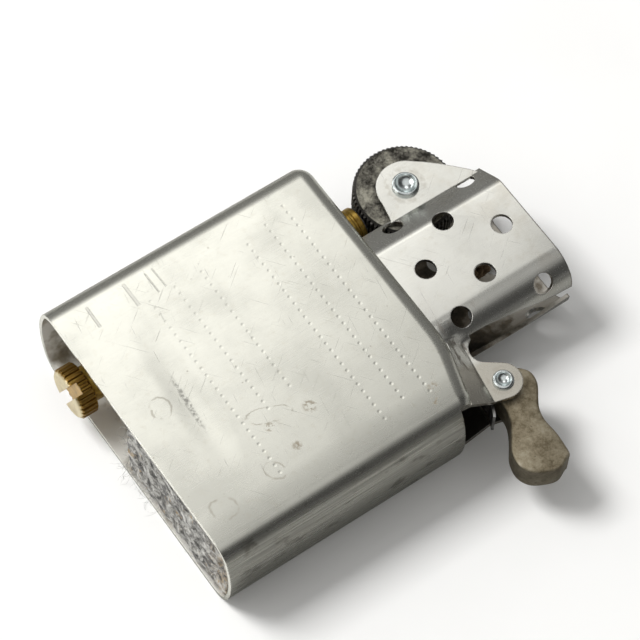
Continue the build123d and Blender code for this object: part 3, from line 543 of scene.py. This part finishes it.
def copper_material():
    M = Mat("wick_wire_copper", 1.0)
    x, y, z = M.xyz()
    n = M.noise(1.5, 4)
    col = M.ramp(n, ((0.36, (0.26, 0.11, 0.05)), (0.62, (0.74, 0.40, 0.24))))
    col = M.mix(M.step(z, 41.5, 43.6, 0, 0.9), col, (0.05, 0.04, 0.035))
    return M.done(col, M.add(0.25, M.mul(n, 0.3)))


def felt_material():
    M = Mat("mottled_felt", 0.0)
    w = M.vmath("ADD", M.P, M.vmath("SCALE", M.vec(M.noise(0.9, 3, off=(1, 0, 0)), M.noise(0.9, 3, off=(0, 9, 0)), M.noise(0.9, 3, off=(0, 0, 5))), 1.6))
    a = M.noise(0.85, 4, 0.58, v=w)
    b = M.noise(2.2, 5, 0.7, v=w, off=(8, 8, 8))
    fibre = M.noise(1.0, 3, 0.6, v=w, stretch=(8, 3, 3), off=(2, 2, 2))
    f = M.add(M.mul(a, 0.60), M.mul(b, 0.30), M.mul(fibre, 0.10))
    col = M.ramp(f, ((0.41, (0.022, 0.021, 0.018)), (0.46, (0.060, 0.057, 0.050)), (0.50, (0.17, 0.165, 0.15)), (0.55, (0.36, 0.355, 0.33)), (0.64, (0.60, 0.59, 0.56))))
    brown = M.step(M.noise(0.8, 4, 0.6, off=(7, 3, 3)), 0.60, 0.68)
    x, y, z = M.xyz()
    brown = M.mul(M.most(brown, M.mul(M.step(x, 12.5, 17, 0, 0.9), M.step(b, 0.45, 0.6))), 0.8)
    col = M.mix(brown, col, (0.30, 0.21, 0.10))
    M.bump(M.add(M.mul(b, 0.6), M.mul(fibre, 0.4)), 0.05, 0.7)
    M.bump(M.noise(6.0, 3, 0.7), 0.02, 0.6)
    return M.done(col, 0.95, Specular_IOR_Level=0.12, Sheen_Weight=0.25, Sheen_Roughness=0.5)


def fibre_material(name, a, b):
    M = Mat(name, 0.0)
    col = M.ramp(M.noise(0.35, 2), ((0.42, a), (0.58, b)))
    return M.done(col, 0.85, Specular_IOR_Level=0.2, Sheen_Weight=0.2)


def wadding_material():
    M = Mat("rayon_wadding", 0.0)
    a = M.noise(0.28, 4, 0.6)
    fibre = M.noise(1.0, 4, 0.7, stretch=(6, 2, 2), dist=1.2)
    fibre2 = M.noise(1.0, 4, 0.7, stretch=(2, 2, 7), dist=1.0, off=(4, 4, 4))
    f = M.add(M.mul(a, 0.4), M.mul(fibre, 0.3), M.mul(fibre2, 0.3))
    col = M.ramp(f, ((0.36, (0.50, 0.46, 0.38)), (0.48, (0.78, 0.76, 0.71)), (0.60, (0.93, 0.92, 0.90))))
    M.bump(M.add(M.mul(fibre, 0.5), M.mul(fibre2, 0.5)), 0.22, 0.9)
    return M.done(col, 0.95, Specular_IOR_Level=0.1, Sheen_Weight=0.3)


def wick_material():
    M = Mat("braided_cotton_wick", 0.0)
    x, y, z = M.xyz()
    yarn = M.noise(1.0, 3, 0.6, stretch=(6, 6, 2.5))
    a = M.noise(0.8, 4)
    col = M.ramp(M.add(M.mul(a, 0.5), M.mul(yarn, 0.5)), ((0.38, (0.55, 0.48, 0.36)), (0.60, (0.88, 0.85, 0.77))))
    col = M.mix(M.step(M.add(z, M.mul(a, 2.4)), 40.0, 43.2, 0, 0.97), col, (0.012, 0.011, 0.010))
    col = M.mix(M.step(M.add(z, M.mul(a, 3.0)), 35.5, 40.5, 0, 0.5), col, (0.22, 0.14, 0.07))
    M.bump(yarn, 0.12, 0.9)
    return M.done(col, 0.92, Specular_IOR_Level=0.15)


DENT = (-0.6, 7.0, 11.2, 2.6, math.radians(-3))
RINGS = ((-0.46, 3.9, 1.25, 1.1, 0.16), (12.5, 3.0, 1.35, 1.3, 0.14), (11.8, 9.6, 1.1, 1.0, 0.18), (6.2, 12.6, 2.6, 0.9, 0.10))
SCUFFS = ((-14.8, 3.96, -11.7, 3.92, 0.20, 0.40), (-15.0, 8.64, -11.6, 8.66, 0.24, 0.30), (-14.8, 11.2, -11.8, 11.26, 0.10, 0.24), (-14.9, 12.14, -12.0, 12.26, 0.09, 0.15))
RUST = ((7.7, 16.7, 1.0), (10.7, 13.0, 0.7), (13.1, 28.4, 0.9), (14.4, 27.6, 0.7), (7.4, 11.9, 0.7))
DOT_ROWS = ((27.9, -13.6, 13.4), (25.1, -12.8, 12.6), (22.2, -12.0, 13.4), (16.3, -12.0, 5.2), (13.0, -12.0, 6.2), (9.9, -11.8, 12.9))
DOT_STEP, DOT_R = 0.95, 0.26

MATS = {
    "insert_can": can_material(),
    "chimney": chimney_material(),
    "spark_wheel": wheel_material(),
    "wheel_rivet": rivet_material(),
    "cam": cam_material(),
    "cam_spring": spring_material(),
    "flint_tube": brass_material("tube_tarnished_brass", (0.60, 0.42, 0.11), (0.38, 0.24, 0.05), (0.12, 0.07, 0.02)),
    "flint": flint_material(),
    "flint_pusher": brass_material("pusher_turned_brass", (0.74, 0.58, 0.27), (0.58, 0.42, 0.16), (0.28, 0.18, 0.06)),
    "flint_screw": brass_material("screw_knurled_brass", (0.66, 0.44, 0.12), (0.45, 0.27, 0.05), (0.20, 0.11, 0.02), screw=True),
    "wick_wires": copper_material(),
}
MATS["cam_rivet"] = MATS["wheel_rivet"]
MATS["flint_spring"] = MATS["cam_spring"]


# -------------------------------------------- smooth shading on CAD pieces
def smooth_group():
    """Joins the doubled points of neighbouring faces and shades by angle."""
    g = bpy.data.node_groups.new("smooth_by_angle", "GeometryNodeTree")
    g.interface.new_socket("Geometry", in_out="INPUT", socket_type="NodeSocketGeometry")
    g.interface.new_socket("Geometry", in_out="OUTPUT", socket_type="NodeSocketGeometry")
    n = g.nodes
    gi, go = n.new("NodeGroupInput"), n.new("NodeGroupOutput")
    weld = n.new("GeometryNodeMergeByDistance")
    weld.inputs["Distance"].default_value = 2e-6
    s1 = n.new("GeometryNodeSetShadeSmooth")
    s1.domain = "FACE"
    s2 = n.new("GeometryNodeSetShadeSmooth")
    s2.domain = "EDGE"
    s2.inputs["Shade Smooth"].default_value = False
    ang = n.new("GeometryNodeInputMeshEdgeAngle")
    cmp_ = n.new("FunctionNodeCompare")
    cmp_.data_type = "FLOAT"
    cmp_.operation = "GREATER_THAN"
    cmp_.inputs[1].default_value = math.radians(28)
    L = g.links.new
    L(gi.outputs[0], weld.inputs["Geometry"])
    L(weld.outputs[0], s1.inputs["Geometry"])
    L(s1.outputs[0], s2.inputs["Geometry"])
    L(ang.outputs["Unsigned Angle"], cmp_.inputs[0])
    L(cmp_.outputs[0], s2.inputs["Selection"])
    L(s2.outputs[0], go.inputs[0])
    return g


SMOOTH = smooth_group()
for name, mat in MATS.items():
    ob = N[name]
    me = ob.data
    if not me.materials:
        me.materials.append(mat)
    for i in range(len(ob.material_slots)):
        ob.material_slots[i].material = mat
    if "custom_normal" in me.attributes:
        me.attributes.remove(me.attributes["custom_normal"])
    md = ob.modifiers.new("smooth", "NODES")
    md.node_group = SMOOTH


# ------------------------------------------------------------- soft pieces
def new_object(name, verts, faces, mats, index=None, smooth=True):
    me = bpy.data.meshes.new(name)
    me.from_pydata(verts, [], faces)
    for m in mats:
        me.materials.append(m)
    if index:
        me.polygons.foreach_set("material_index", index)
    if smooth:
        me.polygons.foreach_set("use_smooth", [True] * len(me.polygons))
    me.update()
    ob = bpy.data.objects.new(name, me)
    coll.objects.link(ob)
    return ob


def tube(verts, faces, path, r, sides=4, taper=True):
    """Adds a thin tube along path (metres) to verts and faces."""
    base = len(verts)
    n = len(path)
    prev = None
    for i, p in enumerate(path):
        d = (path[min(i + 1, n - 1)] - path[max(i - 1, 0)]).normalized()
        a = prev if prev is not None else (Vector((1, 0, 0)) if abs(d.x) < 0.8 else Vector((0, 1, 0)))
        a = (a - d * a.dot(d)).normalized()
        prev = a
        b = d.cross(a)
        k = r * ((1 - 0.6 * abs(2 * i / (n - 1) - 1) ** 3) if taper else 1)
        for s in range(sides):
            t = 2 * math.pi * s / sides
            verts.append(p + (a * math.cos(t) + b * math.sin(t)) * k)
    for i in range(n - 1):
        for s in range(sides):
            s2 = (s + 1) % sides
            faces.append((base + i * sides + s, base + i * sides + s2,
                          base + (i + 1) * sides + s2, base + (i + 1) * sides + s))
    faces.append(tuple(base + s for s in reversed(range(sides))))
    faces.append(tuple(base + (n - 1) * sides + s for s in range(sides)))


def half_width(x):
    """Half thickness of the can's hollow at x, in mm."""
    r1, r2, inset = 2.3 - 0.45, 12.0 - 0.45, 0.45
    side_x = 18.0 - 12.0
    cy = 5.8 - 2.3
    reach = 12.0 - 2.3
    dx = math.sqrt(reach**2 - cy**2)
    cx = side_x + dx
    ax = abs(x)
    if ax <= cx:
        return cy + r1
    a = math.atan2(cy, dx)
    tx = side_x + r2 * math.cos(a)
    if ax < tx:
        return cy + math.sqrt(max(r1 * r1 - (ax - cx) ** 2, 0))
    return math.sqrt(max(r2 * r2 - (ax - side_x) ** 2, 0))


def build_felt():
    rnd = random.Random(7)
    x0, x1, z0, z1 = -1.70, 17.40, 0.20, 3.10
    nu, nv, nt = 96, 44, 5
    verts, faces, index = [], [], []
    zc, half = (z0 + z1) / 2, (z1 - z0) / 2

    def point(u, v, side):
        """side -1 is the face towards the mouth."""
        x = x0 + (x1 - x0) * u
        w = half_width(min(x, 17.3)) - 0.10
        y = v * w
        # soft shoulders all round
        e = min((x - x0) / 0.9, (x1 - x) / 0.5, (1 - abs(v)) * w / 0.55, 1.0)
        e = max(e, 0.0)
        t = half * (0.55 + 0.45 * math.sqrt(1 - (1 - e) ** 2))
        p = Vector((x, y, zc + side * t))
        q = p * 0.55
        lump = noise.noise(q + Vector((3, 1, 9))) * 0.30 + noise.noise(p * 1.7) * 0.16 + noise.noise(p * 4.0) * 0.08
        p.z += lump * (1 if side > 0 else -1) * -1.0
        p.z = max(p.z, -0.25)
        pull = noise.noise(Vector((x * 0.8, side * 3, v * 4))) * 0.22
        if u == 0:
            p.x += pull * 1.3 + noise.noise(Vector((y * 1.3, 4, 2))) * 0.45
        if abs(v) == 1:
            p.y -= math.copysign(max(0.0, 0.12 + pull), y)
        return p

    grid = {}
    for side in (-1, 1):
        for i in range(nu + 1):
            for j in range(nv + 1):
                u = i / nu
                v = -1 + 2 * j / nv
                v = math.copysign(min(abs(v), 1.0), v) if v else 0.0
                grid[side, i, j] = len(verts)
                verts.append(point(u, v, side))
    for side in (-1, 1):
        for i in range(nu):
            for j in range(nv):
                q = [grid[side, i, j], grid[side, i + 1, j], grid[side, i + 1, j + 1], grid[side, i, j + 1]]
                faces.append(q if side > 0 else q[::-1])
    rim = [(i, 0) for i in range(nu)] + [(nu, j) for j in range(nv)] + [(i, nv) for i in range(nu, 0, -1)] + [(0, j) for j in range(nv, 0, -1)]
    low = [grid[-1, i, j] for i, j in rim]
    rings = [low]
    for k in range(1, nt):
        f = k / nt
        ring = []
        for (i, j), a in zip(rim, low):
            p = verts[a].lerp(verts[grid[1, i, j]], f)
            out = Vector((0, 0, 0))
            if j in (0, nv):
                out.y = 1 if j else -1
            if i in (0, nu):
                out.x = 1 if i else -1
            p = p + out * (0.10 * math.sin(math.pi * f) + noise.noise(p * 2.1) * 0.08)
            ring.append(len(verts))
            verts.append(p)
        rings.append(ring)
    rings.append([grid[1, i, j] for i, j in rim])
    for a, b in zip(rings, rings[1:]):
        n = len(a)
        for k in range(n):
            k2 = (k + 1) % n
            faces.append((a[k], a[k2], b[k2], b[k]))
    index = [0] * len(faces)

    # loose surface hairs and strays that hang out of the mouth
    def hair(p, d, length, curl, r, slot, limit=None):
        path = [Vector(p)]
        d = Vector(d).normalized()
        n = 7
        for _ in range(n):
            d = (d + Vector((rnd.gauss(0, curl), rnd.gauss(0, curl), rnd.gauss(0, curl)))).normalized()
            q = path[-1] + d * (length / n)
            if limit:
                q = limit(q)
            path.append(q)
        v2, f2 = [], []
        tube(v2, f2, path, r, 3)
        base = len(verts)
        verts.extend(v2)
        faces.extend(tuple(base + k for k in f) for f in f2)
        index.extend([slot] * len(f2))

    def keep_in(q):
        w = half_width(min(q.x, 17.2)) - 0.05
        q.y = max(-w, min(w, q.y))
        q.x = max(-4.0, min(17.3, q.x))
        q.z = max(-0.5, q.z)
        return q

    for _ in range(150):
        x = rnd.uniform(x0 + 0.1, x1 - 0.4)
        w = half_width(x) - 0.3
        y = rnd.uniform(-w, w)
        hair((x, y, 0.15 + rnd.random() * 0.25), (rnd.gauss(0, 1), rnd.gauss(0, 1), -0.35), rnd.uniform(0.7, 2.4), 0.42,
             rnd.uniform(0.008, 0.014), rnd.choice((1, 2, 3, 3)), keep_in)
    for _ in range(46):
        y = rnd.uniform(-4.6, 4.6)
        hair((x0 + 0.1, y, rnd.uniform(0.3, 2.8)), (-1, rnd.gauss(0, 0.4), rnd.gauss(0, 0.4)), rnd.uniform(0.8, 2.2), 0.35,
             rnd.uniform(0.012, 0.022), rnd.choice((1, 2, 3)), keep_in)
    for _ in range(40):
        x = rnd.gauss(1.2, 2.6)
        x = min(max(x, -1.4), 8.0)
        hair((x, rnd.uniform(3.6, 4.9), 0.15), (rnd.gauss(-0.1, 0.45), rnd.uniform(0.0, 0.30), -1), rnd.uniform(0.8, 3.0), 0.45,
             rnd.uniform(0.008, 0.013), rnd.choice((1, 1, 3)), lambda q: Vector((q.x, min(q.y, 5.70), max(q.z, -3.6))))
    verts = [v * MM for v in verts]
    ob = new_object("felt_pad_mottled", verts, faces,
                    [felt_material(), fibre_material("felt_fibre_dark", (0.05, 0.05, 0.05), (0.16, 0.15, 0.14)),
                     fibre_material("felt_fibre_light", (0.62, 0.61, 0.58), (0.90, 0.89, 0.86)),
                     fibre_material("felt_fibre_grey", (0.26, 0.25, 0.24), (0.46, 0.44, 0.41))], index)
    return ob


felt = build_felt()
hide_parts("felt_pad", "felt_flap")
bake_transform(felt)


def fluff(node, seed):
    """A wadding ball: the CAD block remeshed, lumped and pulled into tufts."""
    rnd = random.Random(seed)
    src = N[node]
    me = src.data.copy()
    ob = bpy.data.objects.new(node + "_fluff", me)
    coll.objects.link(ob)
    for m in list(ob.modifiers):
        ob.modifiers.remove(m)
    weld = ob.modifiers.new("weld", "WELD")
    weld.merge_threshold = 2e-6
    rm = ob.modifiers.new("remesh", "REMESH")
    rm.mode = "VOXEL"
    rm.voxel_size = 0.00034
    sm = ob.modifiers.new("soft", "SMOOTH")
    sm.iterations = 3
    sm.factor = 0.5
    dg = bpy.context.evaluated_depsgraph_get()
    done = bpy.data.meshes.new_from_object(ob.evaluated_get(dg))
    ob.modifiers.clear()
    ob.data = done
    normals = [v.normal.copy() for v in done.vertices]
    off = Vector((seed * 3.1, seed * 1.7, 0))
    for v, n in zip(done.vertices, normals):
        p = v.co * 1000
        h = (noise.noise(p * 0.30 + off) * 0.30 + noise.noise(p * 0.9 + off) * 0.16 + noise.noise(p * 2.6 + off) * 0.10) - 0.10
        h = min(h, 0.14)
        v.co += n * (h * MM)
    if node == "wadding_1":
        for v in done.vertices:
            x, y, z = v.co * 1000
            if z < 7.0:
                k = max(0.0, 1 - abs((x + 4.35) / 2.55) ** 3) * max(0.0, 1 - abs(y / 5.3) ** 4)
                k *= min(1.0, (7.0 - z) / 3.2)
                v.co.z -= k * (1.7 + 0.35 * noise.noise(Vector((x, y, 3)) * 0.9)) * MM
    hx, hy = 17.0, 5.2
    verts = [v.co.copy() for v in done.vertices]
    faces = [tuple(p.vertices) for p in done.polygons]
    nf = len(faces)
    tops = [i for i, n in enumerate(normals) if abs(n.z) > 0.6 or n.x < -0.6]
    for _ in range(170):
        i = rnd.choice(tops)
        p = verts[i] * 1000
        d = Vector((rnd.gauss(0, 1), rnd.gauss(0, 0.7), rnd.gauss(0, 0.25)))
        path = [p.copy()]
        for _k in range(6):
            d = (d + Vector((rnd.gauss(0, 0.4), rnd.gauss(0, 0.4), rnd.gauss(0, 0.2)))).normalized()
            q = path[-1] + d * rnd.uniform(0.15, 0.42)
            q.x = max(-hx, min(hx, q.x)); q.y = max(-hy, min(hy, q.y))
            q.z = max(p.z - 0.35, min(p.z + 0.35, q.z))
            path.append(q)
        v2, f2 = [], []
        tube(v2, f2, [q * MM for q in path], 0.016 * MM, 3)
        base = len(verts)
        verts.extend(v2)
        faces.extend(tuple(base + k for k in f) for f in f2)
    bpy.data.objects.remove(ob)
    out = new_object(node + "_fluff", verts, faces, [WADDING], None)
    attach(out, "insert")
    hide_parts(node)
    return out


WADDING = wadding_material()
for k in range(1, 6):
    fluff("wadding_%d" % k, k)


# -------------------------------------------------------------------- wick
def wick_path(step=0.16):
    """The cord's centre line in mm, folded to and fro, corners rounded."""
    pts = [(1.45, 43.75), (1.45, 29.0), (7.5, 25.5), (7.5, 22.5), (-2.0, 18.6), (-2.0, 15.6), (8.0, 11.8), (8.0, 6.7)]
    pts = [Vector((x, 0, z)) for x, z in pts]
    R = 1.75
    out = [pts[0]]
    for a, b, c in zip(pts, pts[1:], pts[2:]):
        u, w = (a - b).normalized(), (c - b).normalized()
        ang = u.angle(w)
        t = R / math.tan(ang / 2)
        p0, p1 = b + u * t, b + w * t
        centre = b + (u + w).normalized() * (R / math.sin(ang / 2))
        for k in range(9):
            q = p0.lerp(p1, k / 8)
            out.append(centre + (q - centre).normalized() * R)
    out.append(pts[-1])
    # resample evenly
    res, carry = [out[0]], 0.0
    for a, b in zip(out, out[1:]):
        d = (b - a).length
        s = step - carry
        while s <= d:
            res.append(a.lerp(b, s / d))
            s += step
        carry = (carry + d) % step if d >= step - carry else carry + d
    return res


def build_wick():
    path = wick_path()
    n = len(path)
    frames = []
    for i, p in enumerate(path):
        d = (path[min(i + 1, n - 1)] - path[max(i - 1, 0)]).normalized()
        b = Vector((0, 1, 0))
        a = b.cross(d).normalized()
        frames.append((p, a, b))
    verts, faces = [], []
    strands, pitch = 4, 5.2
    for turn in (1, -1):
        for s in range(strands):
            line, radii = [], []
            for i, (p, a, b) in enumerate(frames):
                t = turn * 2 * math.pi * (i * 0.16) / pitch + 2 * math.pi * s / strands
                # each strand goes over one and under the next
                wave = math.cos(strands * (2 * math.pi * (i * 0.16) / pitch) + math.pi * s + (0 if turn > 0 else math.pi))
                r = 1.00 + 0.13 * wave
                line.append((p + (a * math.cos(t) + b * math.sin(t)) * r) * MM)
            tube(verts, faces, line, 0.40 * MM, 8, taper=False)
    tube(verts, faces, [p * MM for p in path[2:-2]], 0.80 * MM, 12, taper=False)
    rnd = random.Random(3)
    for _ in range(60):
        t = rnd.uniform(0, 2 * math.pi)
        p = Vector((1.45 + 1.25 * math.cos(t), 1.25 * math.sin(t), rnd.choice((43.4, 43.6, rnd.uniform(36, 43)))))
        line = [p.copy()]
        d = Vector((math.cos(t) * 0.5, math.sin(t) * 0.5, rnd.uniform(0.1, 1)))
        for _k in range(5):
            d = (d + Vector((rnd.gauss(0, 0.3), rnd.gauss(0, 0.3), rnd.gauss(0, 0.3)))).normalized()
            q = line[-1] + d * 0.14
            line.append(q)
        tube(verts, faces, [q * MM for q in line], 0.018 * MM, 3)
    ob = new_object("wick_braided", verts, faces, [wick_material()])
    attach(ob, "insert")
    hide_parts("wick")
    return ob


build_wick()


# ------------------------------------------------------------------- stage
def floor_plane(name, lying):
    me = bpy.data.meshes.new(name)
    s = 3.0
    if lying:
        y = BOX0[1][1] + 0.00003
        pts = [(-s, y, -s), (s, y, -s), (s, y, s), (-s, y, s)]
    else:
        z = BOX0[0][2] - 0.00002
        pts = [(-s, -s, z), (s, -s, z), (s, s, z), (-s, s, z)]
    me.from_pydata(pts, [], [(0, 1, 2, 3)])
    ob = bpy.data.objects.new(name, me)
    coll.objects.link(ob)
    only_when(ob, lying)
    M = Mat(name + "_paper", 0.0)
    n = M.noise(0.03, 4)
    col = M.mix(M.step(n, 0.35, 0.7), (0.94, 0.94, 0.935), (0.91, 0.91, 0.905))
    if lying:
        # painted reflection: glossy rays see the table in painted tones by place, mid grey near the -X side, darker far
        # out and towards +X where shadow is painted, and near white in a band at z -12 to -3 mm
        lp = M.t.nodes.new("ShaderNodeLightPath")
        tx, ty, tz = M.xyz()
        far = M.step(tx, -62.0, -22.0)
        painted_reflection = M.mix(far, (0.15, 0.15, 0.145), (0.52, 0.52, 0.505))
        away = M.mix(M.step(tx, 24.0, 75.0), (0.30, 0.30, 0.29), (0.10, 0.10, 0.095))
        painted_reflection = M.mix(M.step(tx, -10.0, 19.0), painted_reflection, away)
        painted_reflection = M.mix(M.mul(M.step(tz, -3.0, 0.0, 1, 0), M.step(tz, -30.0, -12.0)), painted_reflection, (0.92, 0.92, 0.90))
        col = M.mix(lp.outputs["Is Glossy Ray"], col, painted_reflection)
    me.materials.append(M.done(col, 0.8, Specular_IOR_Level=0.1))
    return ob


floor_plane("table_lying", True)
floor_plane("table_standing", False)


def area(name, loc, target, size, power, color=(1, 1, 1), size_y=None, glossy=False, lying=None):
    ld = bpy.data.lights.new(name, "AREA")
    ld.shape = "RECTANGLE"
    ld.size = size
    ld.size_y = size_y or size
    ld.energy = power
    ld.color = color
    ob = bpy.data.objects.new(name, ld)
    coll.objects.link(ob)
    ob.location = loc
    d = Vector(target) - Vector(loc)
    ob.rotation_mode = "QUATERNION"
    ob.rotation_quaternion = d.to_track_quat("-Z", "Y")
    ob.visible_glossy = glossy
    if lying is not None:
        only_when(ob, lying)
    return ob


area("key", (-0.36, -0.60, -0.24), (0, 0, 0.02), 0.26, 4.2, (1.0, 0.995, 0.985), lying=True)
area("broad", (-0.46, -0.52, -0.36), (0, 0, 0.02), 0.95, 2.2, (1.0, 0.995, 0.985), lying=True)
area("top_fill", (-0.25, -0.25, 0.75), (0, 0, 0.02), 0.45, 5.8, (1.0, 0.995, 0.98), lying=False)


def build_world():
    """Diffuse light comes evenly from a pale room; mirror-like metal sees a
    room of its own: a soft window in front, two low ones that catch edges, two behind."""
    w = bpy.data.worlds.new("studio")
    scene.world = w
    w.use_nodes = True
    t = w.node_tree
    bg = t.nodes["Background"]

    def link(a, b):
        t.links.new(a, b)

    tc = t.nodes.new("ShaderNodeTexCoord")
    total = None
    for d, lo, hi, k in WINDOWS:
        n = t.nodes.new("ShaderNodeVectorMath")
        n.operation = "DOT_PRODUCT"
        link(tc.outputs["Generated"], n.inputs[0])
        n.inputs[1].default_value = Vector(d).normalized()
        r = t.nodes.new("ShaderNodeMapRange")
        r.interpolation_type = "SMOOTHSTEP"
        link(n.outputs["Value"], r.inputs[0])
        r.inputs[1].default_value = math.cos(math.radians(hi))
        r.inputs[2].default_value = math.cos(math.radians(lo))
        r.inputs[3].default_value = 0
        r.inputs[4].default_value = k
        if total is None:
            total = r.outputs[0]
        else:
            a = t.nodes.new("ShaderNodeMath")
            a.operation = "ADD"
            link(total, a.inputs[0])
            link(r.outputs[0], a.inputs[1])
            total = a.outputs[0]
    base = t.nodes.new("ShaderNodeMath")
    base.operation = "ADD"
    base.inputs[1].default_value = ROOM
    link(total, base.inputs[0])
    lp = t.nodes.new("ShaderNodeLightPath")
    mx = t.nodes.new("ShaderNodeMix")
    mx.data_type = "FLOAT"
    link(lp.outputs["Is Glossy Ray"], mx.inputs[0])
    mx.inputs[2].default_value = FILL
    link(base.outputs[0], mx.inputs[3])
    bg.inputs[0].default_value = (1.0, 0.995, 0.975, 1)
    link(mx.outputs[0], bg.inputs[1])


ROOM = 0.055
FILL = 0.39
WINDOWS = (
    ((-0.507, -0.829, 0.234), 7, 17, 1.16),
    ((-0.66, -0.69, 0.28), 5, 22, 0.36),
    ((0.16, -0.95, -0.25), 28, 46, 0.60),
    ((-0.80, -0.30, 0.45), 15, 70, 0.17),
    ((-0.90, -0.30, -0.32), 6, 20, 2.0),
    ((-0.41, -0.44, -0.80), 10, 30, 2.6),
    ((0.35, 0.75, 0.55), 20, 70, 0.85),
    ((-0.60, 0.70, 0.30), 10, 50, 0.60),
)
build_world()

scene.view_settings.view_transform = "Standard"
scene.view_settings.look = "None"
